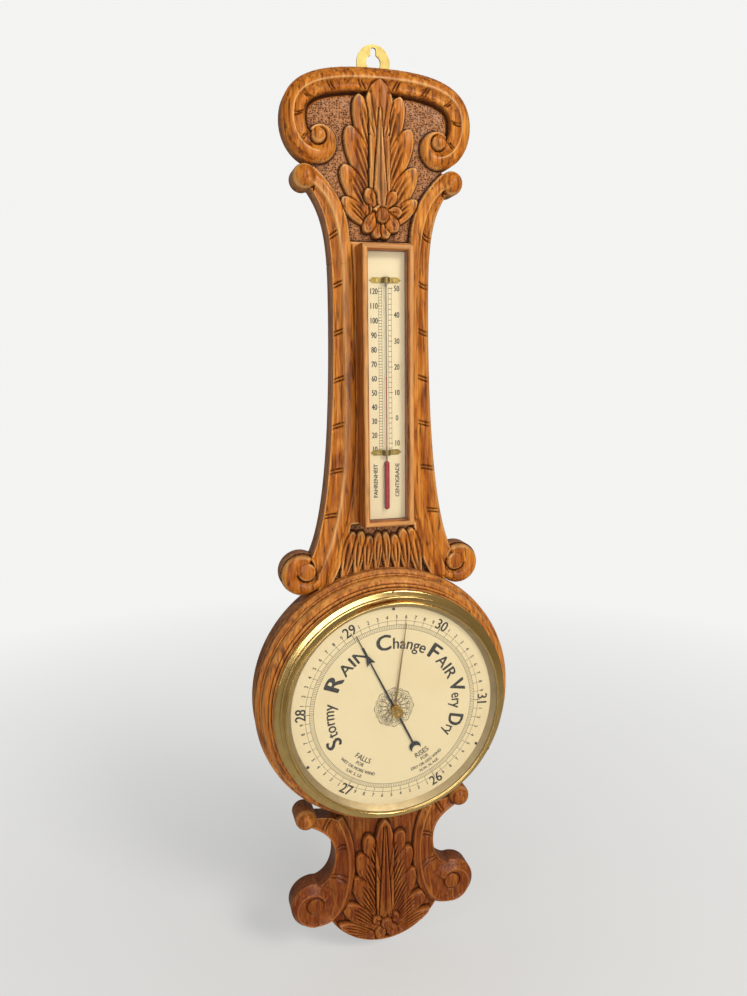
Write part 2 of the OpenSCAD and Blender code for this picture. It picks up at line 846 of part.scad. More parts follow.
module dial_screws() {
    color(steel)
        at_dial()
            for (a = screw_turns)
                screw(dial_screw_r * sin(a), dial_screw_r * cos(a), dial_d, land_d - front_screw_len,
                      dial_head_r, dial_d + dial_head_t, shank_r);
}
module indicator_hand() {
    barb = hand_len - 33;
    moon = tail_len - moon_r;
    color(blued)
        at_dial()
            difference() {
                union() {
                    rod(0, 0, hand_d, hand_d + hand_t, hand_boss_r);
                    slab(hand_d, hand_d + hand_t)
                        rotate(-hand_angle)
                            polygon([[-1.1, 0], [-0.35, hand_len - 2], [0, hand_len], [0.35, hand_len - 2],
                                [1.1, 0], [0.9, 2 - moon], [-0.9, 2 - moon]]);
                    slab(hand_d, hand_d + hand_t)
                        rotate(-hand_angle)
                            polygon([[0, barb + 2.5], [4.4, barb], [0.4, barb + 11], [-0.4, barb + 11],
                                [-4.4, barb]]);
                    slab(hand_d, hand_d + hand_t)
                        rotate(-hand_angle)
                            difference() {
                                translate([0, -moon])
                                    circle(moon_r);
                                translate([0, -moon - 0.6 * moon_r])
                                    circle(0.8 * moon_r);
                            }
                }
                rod(0, 0, hand_d - 1, hand_d + hand_t + 1, collet_r + press_gap);
            }
}
module hand_collet() {
    color(brass)
        at_dial()
            difference() {
                turned()
                    polygon([[0, hand_d - 0.8], [2.4, hand_d - 0.8], [2.4, hand_d], [collet_r, hand_d],
                        [collet_r, collet_d - 0.2], [collet_r - 0.3, collet_d], [0, collet_d]]);
                rod(0, 0, hand_d - 2, hand_d + hand_t, arbor_r + press_gap);
            }
}
module set_hand() {
    color(brass)
        at_dial()
            difference() {
                slab(set_d, set_d + set_t)
                    rotate(-set_angle)
                        union() {
                            circle(set_boss_r);
                            polygon([[-1, 0], [1, 0], [0.3, set_len - 2], [0, set_len], [-0.3, set_len - 2]]);
                            translate([0, set_len - 20])
                                circle(1.5);
                        }
                rod(0, 0, set_d - 1, set_d + 1, spindle_r + press_gap);
            }
}
module set_hand_knob() {
    base = lip_d + flange_t + 0.3;
    color(brass)
        at_dial()
            turned()
                polygon([[0, spindle_d], [2.3, spindle_d], [2.3, set_d], [spindle_r, set_d],
                    [spindle_r, base], [0.5 * knob_r, base], [0.55 * knob_r, base + 0.2 * knob_h],
                    [knob_r, base + 0.45 * knob_h], [knob_r, base + 0.8 * knob_h],
                    [0.86 * knob_r, base + knob_h], [0.6 * knob_r, base + knob_h],
                    [0.45 * knob_r, base + 0.86 * knob_h], [0, base + 0.8 * knob_h]]);
}
module set_hand_bush() {
    color(brass)
        at_dial()
            turned()
                polygon([[spindle_r + run_gap, glass_d - nut_t], [bush_r, glass_d - nut_t], [bush_r, lip_d],
                    [flange_r, lip_d], [flange_r - 0.3, lip_d + flange_t],
                    [spindle_r + run_gap, lip_d + flange_t]]);
}
module bush_nut() {
    color(brass)
        at_dial()
            difference() {
                rod(0, 0, glass_d - nut_t, glass_d, flange_r);
                rod(0, 0, glass_d - nut_t - 1, glass_d + 1, bush_r + press_gap);
            }
}

// Movement, all about the dial centre
pillar_places = [for (a = [0, 120, 240]) pillar_ring * [cos(a), sin(a)]];
bridge_screw_places = [for (s = [-1, 1]) [s * (bar_half + 5), (bar_z[0] + bar_z[1]) / 2]];
bracket_screw_places = [[ear_x[0] + 6, rocker_z], [ear_x[1] - 4, rocker_z]];
module movement_plate() {
    color(brass)
        at_dial()
            difference() {
                rod(0, 0, plate_back, plate_front, plate_r);
                for (p = pillar_places)
                    rod(p[0], p[1], plate_back - 1, plate_front + 1, thread_r + run_gap);
                for (p = concat(bridge_screw_places, bracket_screw_places))
                    rod(p[0], p[1], plate_back - 1, plate_front + 1, shank_hole_r);
                rod(0, 0, plate_back - 1, plate_front + 1, head_r + run_gap);
                rod(0, adjuster_z, plate_back - 1, plate_front + 1, thread_r + run_gap);
                for (s = [-1, 1])
                    rod(s * post_x, 0, plate_back - 1, plate_front + 1, thread_r + run_gap);
            }
}
module movement_pillars() {
    color(brass)
        at_dial()
            for (p = pillar_places)
                difference() {
                    rod(p[0], p[1], plate_front, land_d, pillar_r);
                    rod(p[0], p[1], plate_front - 1, plate_front + 6.5, thread_r + run_gap);
                }
}
module pillar_screws() {
    color(steel)
        at_dial()
            for (p = pillar_places)
                screw(p[0], p[1], plate_back, plate_front + 6, head_r, plate_back - 1.5, thread_r);
}
// Half of the capsule as a ribbed shell: depth 0 at the seam, dome to the front
module capsule_half() {
    rise = capsule_h / 2;
    ribs = [for (i = [0:8]) [capsule_r - 3 - i * (capsule_r - 10) / 8, rise - (i % 2 == 0 ? 0 : 0.9)]];
    inner = [for (p = back_order(ribs)) [p[0], p[1] - 1]];
    turned()
        polygon(concat([[capsule_r, 0], [capsule_r, 0.6], [capsule_r - 2, 0.9]], ribs,
            [[0, rise]], [[0, rise - 1]], inner, [[capsule_r - 4, 0.6], [capsule_r - 2.5, 0]]));
}
module capsule_base() {
    color(steel)
        at_dial() {
            translate([0, -capsule_mid, 0])
                mirror([0, 1, 0])
                    capsule_half();
            rod(0, 0, plate_front, capsule_d + 0.5, head_r + 2);
            rod(0, 0, plate_back - 3, plate_front, head_r);
        }
}
module capsule_nut() {
    color(brass)
        at_dial()
            difference() {
                translate([0, -plate_back + 2.5, 0])
                    rotate([90, 0, 0])
                        cylinder(r = head_r + 3, h = 2.5, $fn = 6);
                rod(0, 0, plate_back - 4, plate_back + 1, head_r + press_gap);
            }
}
module capsule_diaphragm() {
    color(steel)
        at_dial()
            translate([0, -capsule_mid, 0])
                capsule_half();
}
module capsule_post() {
    color(brass)
        at_dial()
            difference() {
                union() {
                    rod(0, 0, capsule_top, capsule_top + 1.5, 5);
                    rod(0, 0, capsule_top, post_top, 2.2);
                }
                cross_rod(-4, 4, 0, lever_d + pin_lift, post_pin_r + press_gap);
            }
}
module post_pin() {
    color(steel)
        at_dial()
            cross_rod(-5, 5, 0, lever_d + pin_lift, post_pin_r);
}
module spring_bridge() {
    mid = (bar_z[0] + bar_z[1]) / 2;
    color("dimgray")
        at_dial()
            difference() {
                union() {
                    slab(bar_d, bar_d + bar_t)
                        translate([-bar_half, bar_z[0]])
                            square([2 * bar_half, bar_z[1] - bar_z[0]]);
                    slab(bar_d, bar_d + bar_t)
                        translate([-5, bar_z[0]])
                            square([10, adjuster_z - bar_z[0] + 4]);
                    for (s = [-1, 1])
                        slab(plate_front, bar_d + 0.1)
                            translate([s * (bar_half - bar_leg / 2) - bar_leg / 2, bar_z[0]])
                                square([bar_leg, bar_z[1] - bar_z[0]]);
                    for (s = [-1, 1])
                        slab(plate_front, plate_front + 2.5)
                            translate([s * (bar_half + 2.5) - 6.5, bar_z[0]])
                                square([13, bar_z[1] - bar_z[0]]);
                }
                for (p = bridge_screw_places)
                    rod(p[0], p[1], plate_front - 1, plate_front + 3.5, shank_hole_r);
            }
}
module bridge_screws() {
    color(steel)
        at_dial()
            for (p = bridge_screw_places)
                screw(p[0], p[1], plate_front + 2.5, plate_back, 2, plate_front + 4, shank_r);
}
// The leaf spring bent back over itself, as a side profile swept across
module main_spring() {
    half = 9;
    mid_d = leaf_d + leaf_t + leaf_gap / 2;
    bend_r = leaf_gap / 2;
    color("slategray")
        at_dial()
            difference() {
                union() {
                    slab(leaf_d, leaf_d + leaf_t)
                        translate([-half, bar_z[0]])
                            square([2 * half, spring_reach - bar_z[0]]);
                    slab(upper_leaf_d, lever_d)
                        translate([-half, -16])
                            square([2 * half, spring_reach + 16]);
                    intersection() {
                        difference() {
                            cross_rod(-half, half, spring_reach, mid_d, bend_r + leaf_t);
                            cross_rod(-half - 1, half + 1, spring_reach, mid_d, bend_r);
                        }
                        translate([-half, -mid_d - bend_r - 1, spring_reach])
                            cube([2 * half, leaf_gap + 2, bend_r + 2]);
                    }
                }
                slab(upper_leaf_d - 1, lever_d + 1)
                    translate([-2.6, -2.6])
                        square([5.2, 5.2]);
                for (z = lever_screw_z)
                    rod(0, z, upper_leaf_d - 1, lever_d + 1, shank_hole_r);
            }
}
module main_lever() {
    color(brass)
        at_dial()
            difference() {
                slab(lever_d, lever_d + lever_t)
                    polygon([[-4, -4.5], [4, -4.5], [4, -16], [2, -20], [2, -lever_reach - 2],
                        [-2, -lever_reach - 2], [-2, -20], [-4, -16]]);
                for (z = lever_screw_z)
                    rod(0, z, lever_d - 1, lever_d + lever_t + 1, shank_hole_r);
                rod(0, -lever_reach, lever_d - cut, lever_d + lever_t + cut, link_r + press_gap);
            }
}
module lever_screws() {
    color(steel)
        at_dial()
            for (z = lever_screw_z)
                screw(0, z, lever_d + lever_t, upper_leaf_d - 0.6, 1.8, lever_d + lever_t + 1, shank_r);
}
module link_rod() {
    color(steel)
        at_dial() {
            rod(0, -lever_reach, rocker_d, lever_d + lever_t + 0.4, link_r);
            cross_rod(0, 2.8, -lever_reach, rocker_d, link_pin_r);
            translate([0, -rocker_d, -lever_reach])
                sphere(link_r);
        }
}
module rocker_bracket() {
    color(brass)
        at_dial()
            difference() {
                union() {
                    slab(plate_front, plate_front + 2)
                        translate([ear_x[0], rocker_z - 4])
                            square([ear_x[1] - ear_x[0] + ear_t, 8]);
                    for (x = ear_x)
                        slab(plate_front, rocker_d + 3)
                            translate([x, rocker_z - 3])
                                square([ear_t, 6]);
                }
                for (x = ear_x)
                    cross_rod(x - 1, x + ear_t + 1, rocker_z, rocker_d, pivot_body_r + run_gap);
                for (p = bracket_screw_places)
                    rod(p[0], p[1], plate_front - 1, plate_front + 3, shank_hole_r);
            }
}
module bracket_screws() {
    color(steel)
        at_dial()
            for (p = bracket_screw_places)
                screw(p[0], p[1], plate_front + 2, plate_back, 1.8, plate_front + 3, shank_r);
}
module pivot_screws() {
    color(steel)
        at_dial() {
            cross_rod(ear_x[0] - 1.2, ear_x[0] + ear_t, rocker_z, rocker_d, pivot_body_r);
            cross_rod(ear_x[0] + ear_t, ear_x[0] + ear_t + pivot_len, rocker_z, rocker_d, pivot_r);
            cross_rod(ear_x[1], ear_x[1] + ear_t + 1.2, rocker_z, rocker_d, pivot_body_r);
            cross_rod(ear_x[1] - pivot_len, ear_x[1], rocker_z, rocker_d, pivot_r);
        }
}
module rocker_shaft() {
    x0 = ear_x[0] + ear_t + 0.4;
    x1 = ear_x[1] - 0.4;
    color(steel)
        at_dial()
            difference() {
                union() {
                    cross_rod(x0, x1, rocker_z, rocker_d, 1.5);
                    cross_rod(1.1, 2.1, -lever_reach, rocker_d, 1.6);
                    translate([1.1, -rocker_d - 0.8, rocker_z])
                        cube([1, 1.6, short_arm]);
                    translate([arm_x - 0.5, -rocker_d - long_arm, rocker_z - 1])
                        cube([1, long_arm, 2]);
                    cross_rod(arm_x - 0.5, arm_x + 0.5, rocker_z, rocker_d + long_arm, 1.3);
                }
                cross_rod(0, 3, -lever_reach, rocker_d, link_pin_r + link_play);
                cross_rod(x0 - cut, x0 + pivot_len, rocker_z, rocker_d, pivot_r + run_gap);
                cross_rod(x1 - pivot_len, x1 + cut, rocker_z, rocker_d, pivot_r + run_gap);
                cross_rod(arm_x - 1, arm_x + 1, rocker_z, rocker_d + long_arm, 0.5);
            }
}
module pull_chain() {
    from = [arm_x, rocker_z + 1.6];
    to = [-drum_r - 0.4, 0];
    run = to - from;
    color("dimgray")
        at_dial()
            translate([from[0], -rocker_d - long_arm, from[1]])
                rotate([0, atan2(run[0], run[1]), 0])
                    cylinder(r = 0.3, h = norm(run));
}
module arbor_posts() {
    color(brass)
        at_dial()
            for (s = [-1, 1]) {
                rod(s * post_x, 0, plate_front, cock_d, 2.5);
                rod(s * post_x, 0, plate_back, plate_front, thread_r);
                rod(s * post_x, 0, cock_d, cock_d + cock_t + 0.5, thread_r);
            }
}
module arbor_cock() {
    color(brass)
        at_dial()
            difference() {
                union() {
                    slab(cock_d, cock_d + cock_t)
                        translate([-post_x - 4, -5])
                            square([2 * post_x + 8, 10]);
                    for (s = [-1, 1])
                        rod(s * bridge_post_x, 0, cock_d + cock_t, bridge_d, 1.8);
                }
                rod(0, 0, cock_d - 1, cock_d + cock_t + 1, arbor_r + run_gap);
                for (s = [-1, 1]) {
                    rod(s * post_x, 0, cock_d - 1, cock_d + cock_t + 1, thread_r + run_gap);
                    rod(s * bridge_post_x, 0, bridge_d - 2, bridge_d + 1, shank_hole_r);
                }
            }
}
module arbor_bridge() {
    color(brass)
        at_dial()
            difference() {
                union() {
                    slab(bridge_d, bridge_d + bridge_t)
                        translate([-20, -4])
                            square([40, 8]);
                    for (s = [-1, 1])
                        rod(s * bridge_post_x, 0, bridge_d - 1.5, bridge_d + 0.1, shank_r);
                }
                rod(0, 0, bridge_d - 1, bridge_d + bridge_t + 1, arbor_r + run_gap);
                rod(coil_r[1], 0, bridge_d - cut, bridge_d + bridge_t + cut, stud_r + press_gap);
            }
}
module hand_arbor() {
    color(steel)
        at_dial() {
            rod(0, 0, cock_d, hand_d + hand_t, arbor_r);
            rod(0, 0, drum_d, drum_d + drum_h, drum_r);
            rod(0, 0, coil_d, coil_d + coil_h, coil_r[0] - coil_w - 0.1);
        }
}
module hairspring() {
    steps = 20 * coil_turns;
    line = [for (i = [0:steps])
        let (t = i / steps)
            [360 * coil_turns * t, coil_r[0] + (coil_r[1] - 0.75 - coil_r[0]) * t]];
    outer = [for (p = line) (p[1] + coil_w / 2) * [cos(p[0]), sin(p[0])]];
    inner = [for (p = line) (p[1] - coil_w / 2) * [cos(p[0]), sin(p[0])]];
    color("steelblue")
        at_dial()
            slab(coil_d, coil_d + coil_h)
                polygon(concat(outer, back_order(inner)));
}
module hairspring_stud() {
    color(brass)
        at_dial()
            rod(coil_r[1], 0, coil_d - 0.2, bridge_d + bridge_t, stud_r);
}
module adjusting_screw() {
    color(steel)
        at_dial()
            screw(0, adjuster_z, plate_back - 0.1, bar_d - 0.3, head_r, plate_back - 3, thread_r);
}

case_board();
dial_surround();
thermometer_left_stile();
thermometer_right_stile();
thermometer_top_rail();
thermometer_bottom_rail();
thermometer_glass();
scale_backing();
thermometer_scale();
thermometer_tube();
spirit_column();
upper_tube_clip();
lower_tube_clip();
clip_pins();
hanging_plate();
hanging_plate_screws();
back_cover();
back_cover_screws();
bezel();
bezel_screws();
sight_ring();
dial_glass();
dial_plate();
dial_screws();
indicator_hand();
hand_collet();
set_hand();
set_hand_knob();
set_hand_bush();
bush_nut();
movement_plate();
movement_pillars();
pillar_screws();
capsule_base();
capsule_nut();
capsule_diaphragm();
capsule_post();
post_pin();
spring_bridge();
bridge_screws();
main_spring();
main_lever();
lever_screws();
link_rod();
rocker_bracket();
bracket_screws();
pivot_screws();
rocker_shaft();
pull_chain();
arbor_posts();
arbor_cock();
arbor_bridge();
hand_arbor();
hairspring();
hairspring_stud();
adjusting_screw();
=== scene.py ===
import json
import math

import bmesh
import bpy
import numpy as np
from mathutils import Matrix, Vector
from mathutils.geometry import tessellate_polygon


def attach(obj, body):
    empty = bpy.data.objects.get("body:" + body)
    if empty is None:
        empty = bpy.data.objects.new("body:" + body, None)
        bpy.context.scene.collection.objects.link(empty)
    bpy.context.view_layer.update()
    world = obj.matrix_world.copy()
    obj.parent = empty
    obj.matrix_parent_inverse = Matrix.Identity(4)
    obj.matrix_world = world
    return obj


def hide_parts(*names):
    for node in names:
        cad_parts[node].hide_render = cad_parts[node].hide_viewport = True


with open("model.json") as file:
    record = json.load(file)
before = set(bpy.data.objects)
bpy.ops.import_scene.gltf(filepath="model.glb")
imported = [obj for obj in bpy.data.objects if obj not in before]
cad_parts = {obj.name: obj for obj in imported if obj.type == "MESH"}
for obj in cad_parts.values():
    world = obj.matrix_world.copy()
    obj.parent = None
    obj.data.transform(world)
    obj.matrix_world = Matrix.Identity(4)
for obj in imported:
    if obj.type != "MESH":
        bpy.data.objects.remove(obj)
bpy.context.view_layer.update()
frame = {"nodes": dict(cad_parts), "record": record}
cadNodes = frame["nodes"]
scene = bpy.context.scene
scene.view_settings.view_transform = "Standard"
mm = 0.001
dialZ = -578.0  # dial centre below the hanging hole, mm
print("frame loaded:", len(cadNodes), "nodes")


def toFrame(points):  # x, depth from the wall and height over the dial centre in mm, to metres
    p = np.asarray(points, float).reshape(-1, 3)
    return np.column_stack([p[:, 0], -p[:, 1], p[:, 2] + dialZ]) * mm


def addObject(name, mesh):
    obj = bpy.data.objects.new(name, mesh)
    scene.collection.objects.link(obj)
    return obj


def meshPiece(name, points, faces, material, sharp=35, merge=True, marks=None):
    mesh = bpy.data.meshes.new(name)
    mesh.from_pydata(toFrame(points).tolist(), [], [list(f) for f in faces])
    for mark, values in (marks or {}).items():
        layer = mesh.attributes.new(mark, "FLOAT", "POINT")
        layer.data.foreach_set("value", np.asarray(values, np.float32))
    shape = bmesh.new()
    shape.from_mesh(mesh)
    if merge:
        bmesh.ops.remove_doubles(shape, verts=shape.verts, dist=1e-6)
    bmesh.ops.recalc_face_normals(shape, faces=shape.faces)
    shape.to_mesh(mesh)
    shape.free()
    mesh.shade_smooth()
    mesh.set_sharp_from_angle(angle=math.radians(sharp))
    mesh.materials.append(material)
    return addObject(name, mesh)


def settle(obj, slot, body, *replaced):
    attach(obj, body)
    if replaced:
        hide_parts(*replaced)


# Materials

def wire(tree, kind, values=None, out=0, **settings):  # adds a node, fills its sockets, gives one output
    made = tree.nodes.new(kind)
    for key, value in settings.items():
        setattr(made, key, value)
    for key, value in (values or {}).items():
        socket = made.inputs[key]
        if isinstance(value, bpy.types.NodeSocket):
            tree.links.new(value, socket)
        elif socket.type == "RGBA":
            socket.default_value = (*value[:3], 1)
        else:
            socket.default_value = value
    return made.outputs[out] if made.outputs else None


def blankMaterial(name):
    material = bpy.data.materials.new(name)
    material.use_nodes = True
    material.node_tree.nodes.clear()
    return material, material.node_tree


def shaded(tree, values):
    shader = wire(tree, "ShaderNodeBsdfPrincipled", values)
    wire(tree, "ShaderNodeOutputMaterial", {"Surface": shader})


def objectPlace(tree, scale=(1, 1, 1), location=(0, 0, 0)):
    place = wire(tree, "ShaderNodeTexCoord", out="Object")
    return wire(tree, "ShaderNodeMapping", {"Vector": place, "Scale": scale, "Location": location})


def noise(tree, vector, scale, detail=2.0, roughness=0.5, distortion=0.0):
    return wire(tree, "ShaderNodeTexNoise", {"Vector": vector, "Scale": scale, "Detail": detail,
                "Roughness": roughness, "Distortion": distortion})


def spread(tree, value, low, high, toLow=0.0, toHigh=1.0):
    return wire(tree, "ShaderNodeMapRange", {"Value": value, "From Min": low, "From Max": high,
                "To Min": toLow, "To Max": toHigh})


def ramp(tree, value, stops):
    made = wire(tree, "ShaderNodeValToRGB", {"Fac": value})
    slots = made.node.color_ramp.elements
    while len(slots) < len(stops):
        slots.new(0.5)
    for slot, (place, colour) in zip(slots, stops):
        slot.position = place
        slot.color = (*colour, 1)
    return made


def mixed(tree, share, first, second):
    return wire(tree, "ShaderNodeMix", {0: share, 6: first, 7: second}, 2, data_type="RGBA")  # colour sockets


def math2(tree, operation, first, second):
    return wire(tree, "ShaderNodeMath", {0: first, 1: second}, operation=operation)


def bumped(tree, height, strength, distance, **under):
    values = {"Height": height, "Strength": strength, "Distance": distance, **under}
    return wire(tree, "ShaderNodeBump", values)


# Besides the wood's own colours, these hold a painted shade colour for recesses, one for the punch pits and
# one for the lower board, and a pale colour for wear and painted highlight
oakLook = {"dark": (0.22, 0.052, 0.006), "mid": (0.52, 0.15, 0.011), "light": (0.75, 0.3, 0.042),
           "pore": (0.085, 0.02, 0.004), "recessShade": (0.045, 0.012, 0.004), "wornAndLit": (0.8, 0.46, 0.17),
           "matting": (0.5, 0.23, 0.1), "pitShade": (0.06, 0.018, 0.008), "tail": (0.12, 0.017, 0.002),
           "tailShadedWearAndHighlight": (0.46, 0.15, 0.034), "coat": 0.08}
boxLook = dict(oakLook, dark=(0.21, 0.045, 0.006), mid=(0.47, 0.13, 0.017), light=(0.64, 0.25, 0.05))
coverLook = dict(oakLook, dark=(0.2, 0.1, 0.045), mid=(0.33, 0.18, 0.085), light=(0.43, 0.26, 0.13), coat=0.0)


def oakMaterial(name, look, grain=2):  # grain is the axis that the fibres follow
    material, tree = blankMaterial(name)

    def stretched(share):
        return objectPlace(tree, [share if axis == grain else 1 for axis in range(3)])

    def mark(label):  # left on the mesh by the carving: painted shade, wear with painted highlight, and the punched ground
        return wire(tree, "ShaderNodeAttribute", out="Fac", attribute_name=label)
    paintedShade, wearAndHighlight, matting = mark("paintedShade"), mark("wearAndHighlight"), mark("matting")
    figure = noise(tree, stretched(0.14), 75, 5, 0.65, 1.6)
    fibre = noise(tree, stretched(0.03), 520, 3, 0.6)
    flecks = noise(tree, stretched(0.09), 430, 2, 0.5, 0.4)
    pores = spread(tree, flecks, 0.55, 0.66)
    punch = wire(tree, "ShaderNodeTexVoronoi", {"Vector": objectPlace(tree, (1, 0, 1)), "Scale": 640.0,
                 "Randomness": 0.6}, "Distance")
    wood = ramp(tree, figure, [(0.34, look["dark"]), (0.48, look["mid"]), (0.66, look["light"])])
    wood = mixed(tree, spread(tree, fibre, 0.42, 0.66, 0.0, 0.6), wood, look["dark"])
    wood = mixed(tree, math2(tree, "MULTIPLY", pores, 0.8), wood, look["pore"])
    # painted shade in the punch pits of the matted ground
    ground = ramp(tree, punch, [(0.3, look["pitShade"]), (0.6, look["matting"])])
    wood = mixed(tree, math2(tree, "MULTIPLY", matting, 0.9), wood, ground)
    height = wire(tree, "ShaderNodeSeparateXYZ", {0: objectPlace(tree)}, 2)
    # painted shade: the lower board is darkened towards the tail, and so is its pale colour of wear and
    # highlight
    lowShade = spread(tree, height, -0.64, -0.74)
    paintedLowShade = math2(tree, "MULTIPLY", lowShade, spread(tree, fibre, 0.3, 0.65, 0.55, 0.9))
    wood = mixed(tree, paintedLowShade, wood, look["tail"])
    # painted shade: recesses, grooves, undercuts and walls darkened by the carving's mark
    wood = mixed(tree, paintedShade, wood, look["recessShade"])
    # wear with painted highlight: ridges and edges lightened toward a pale colour
    wearHighlightShare = math2(tree, "MULTIPLY", wearAndHighlight, spread(tree, figure, 0.3, 0.6, 0.4, 0.9))
    wood = mixed(tree, wearHighlightShare, wood, mixed(tree, lowShade, look["wornAndLit"], look["tailShadedWearAndHighlight"]))
    dull = math2(tree, "MULTIPLY", paintedShade, 0.25)
    rough = math2(tree, "ADD", spread(tree, flecks, 0.4, 0.7, 0.34, 0.48), dull)
    relief = math2(tree, "SUBTRACT", math2(tree, "MULTIPLY", fibre, 0.35), pores)
    punched = bumped(tree, punch, matting, 0.0012, Normal=bumped(tree, relief, 0.3, 0.0003))
    shaded(tree, {"Base Color": wood, "Roughness": rough, "Normal": punched, "Specular IOR Level": 0.2,
                  "Coat Weight": look["coat"], "Coat Roughness": 0.2})
    return material


def metalMaterial(name, colour, tarnish, rough, lines=2600, bump=0.04):  # turned or rolled
    material, tree = blankMaterial(name)
    flat = objectPlace(tree, (1, 0, 1), (0, 0, -dialZ * mm))
    radius = wire(tree, "ShaderNodeVectorMath", {0: flat}, "Value", operation="LENGTH")
    turning = wire(tree, "ShaderNodeTexNoise", {"W": radius, "Scale": lines, "Detail": 2.0},
                   noise_dimensions="1D")
    bloom = noise(tree, objectPlace(tree), 90, 4, 0.6)
    spots = noise(tree, objectPlace(tree), 800, 2, 0.5)
    tone = mixed(tree, spread(tree, bloom, 0.4, 0.75, 0.0, 0.7), colour, tarnish)
    tone = mixed(tree, spread(tree, spots, 0.66, 0.8, 0.0, 0.5), tone, tarnish)
    shine = math2(tree, "ADD", spread(tree, bloom, 0.3, 0.7, rough, rough + 0.1),
                  spread(tree, turning, 0.3, 0.7, 0.0, 0.06))
    shaded(tree, {"Base Color": tone, "Metallic": 1.0, "Roughness": shine,
                  "Normal": bumped(tree, turning, bump, 0.0001)})
    return material


def printedMaterial(name, paper, stain, rough):  # enamelled or papered card with faint foxing
    material, tree = blankMaterial(name)
    cloud = noise(tree, objectPlace(tree), 22, 5, 0.6)
    specks = noise(tree, objectPlace(tree), 900, 2, 0.5)
    tone = mixed(tree, spread(tree, cloud, 0.45, 0.8, 0.0, 0.55), paper, stain)
    tone = mixed(tree, spread(tree, specks, 0.7, 0.78, 0.0, 0.35), tone, stain)
    shaded(tree, {"Base Color": tone, "Roughness": spread(tree, cloud, 0.3, 0.7, rough, rough + 0.12),
                  "Normal": bumped(tree, specks, 0.05, 0.0001)})
    return material


def plainMaterial(name, first, second, rough, scale, sheen=0.5):  # paint, ink or liquid, of uneven tone
    material, tree = blankMaterial(name)
    patch = noise(tree, objectPlace(tree), scale, 3, 0.6)
    shaded(tree, {"Base Color": mixed(tree, spread(tree, patch, 0.35, 0.7), first, second),
                  "Roughness": spread(tree, patch, 0.3, 0.7, rough, rough + 0.12),
                  "Specular IOR Level": sheen, "Normal": bumped(tree, patch, 0.05, 0.0001)})
    return material


def glassMaterial(name, alpha):
    material, tree = blankMaterial(name)
    smear = noise(tree, objectPlace(tree, (1, 1, 0.5)), 40, 4, 0.6)
    tint = mixed(tree, spread(tree, smear, 0.4, 0.8), (0.93, 0.97, 0.96), (0.86, 0.9, 0.88))
    shaded(tree, {"Base Color": tint, "Roughness": spread(tree, smear, 0.3, 0.8, 0.02, 0.07),
                  "Alpha": alpha, "IOR": 1.5})
    return material


oak = oakMaterial("goldenOak", oakLook)
boxOak = oakMaterial("boxOak", boxLook)
railOak = oakMaterial("boxRailOak", boxLook, 0)
coverWood = oakMaterial("coverWood", coverLook)
brass = metalMaterial("polishedBrass", (0.76, 0.56, 0.24), (0.52, 0.36, 0.13), 0.18)
agedBrass = metalMaterial("agedBrass", (0.5, 0.34, 0.12), (0.26, 0.17, 0.06), 0.28)
bezelBrass = metalMaterial("bezelBrass", (0.74, 0.54, 0.22), (0.56, 0.39, 0.14), 0.12, 700, 0.006)
plateBrass = metalMaterial("plateBrass", (0.46, 0.36, 0.13), (0.37, 0.27, 0.09), 0.44)
clipBrass = metalMaterial("clipBrass", (0.34, 0.25, 0.05), (0.2, 0.14, 0.03), 0.36)
movementBrass = metalMaterial("movementBrass", (0.7, 0.52, 0.24), (0.5, 0.35, 0.14), 0.3)
nickel = metalMaterial("nickelSilver", (0.75, 0.73, 0.68), (0.5, 0.47, 0.4), 0.25)
steel = metalMaterial("brightSteel", (0.55, 0.55, 0.55), (0.36, 0.35, 0.33), 0.25)
bluedSteel = plainMaterial("bluedSteel", (0.008, 0.008, 0.01), (0.02, 0.02, 0.025), 0.35, 500)
iron = plainMaterial("blackIron", (0.05, 0.05, 0.05), (0.12, 0.11, 0.1), 0.5, 400)
ink = plainMaterial("printInk", (0.01, 0.009, 0.008), (0.04, 0.034, 0.025), 0.6, 700)
dialPaper = printedMaterial("dialPaper", (0.76, 0.63, 0.37), (0.68, 0.52, 0.27), 0.45)
scalePaper = printedMaterial("scalePaper", (0.8, 0.68, 0.42), (0.72, 0.57, 0.32), 0.4)
sightGilt = metalMaterial("sightGilt", (0.52, 0.41, 0.22), (0.43, 0.32, 0.17), 0.46)
redSpirit = plainMaterial("redSpirit", (0.3, 0.001, 0.006), (0.38, 0.003, 0.01), 0.3, 200, 0.12)
dialGlass = glassMaterial("dialGlass", 0.018)
tubeGlass = glassMaterial("tubeGlass", 0.012)
slotMaterials = {"oak": oak, "box_oak": boxOak, "cover_wood": coverWood, "clear_glass": dialGlass,
                 "spirit": redSpirit, "scale": scalePaper, "dial": dialPaper, "sight": sightGilt,
                 "polished_brass": brass, "movement_brass": movementBrass, "nickel": nickel, "steel": steel,
                 "blued_steel": bluedSteel, "iron": iron}
for part in frame["record"]["subparts"]:  # every carried-over node gets its finish
    shown = cadNodes[part["node"]].data.materials
    shown.clear()
    shown.append(slotMaterials[part["material_slot"]])
ownFinish = {"thermometer_tube": tubeGlass, "set_hand": agedBrass, "clip_pins": agedBrass,
             "bezel_screws": agedBrass, "dial_screws": bluedSteel, "upper_tube_clip": clipBrass,
             "lower_tube_clip": clipBrass, "hanging_plate": plateBrass}
for node, finish in ownFinish.items():
    cadNodes[node].data.materials[0] = finish
print("materials made")


# Carving of the oak board, as depths over x and height

def smooth(t):
    t = np.clip(t, 0, 1)
    return t * t * (3 - 2 * t)


def bell(t):
    return np.exp(-t * t)


def bezier(a, b, c, d, count=26):
    t = np.linspace(0, 1, count)[:, None]
    a, b, c, d = (np.array(p, float) for p in (a, b, c, d))
    return (1 - t) ** 3 * a + 3 * (1 - t) ** 2 * t * b + 3 * (1 - t) * t * t * c + t ** 3 * d


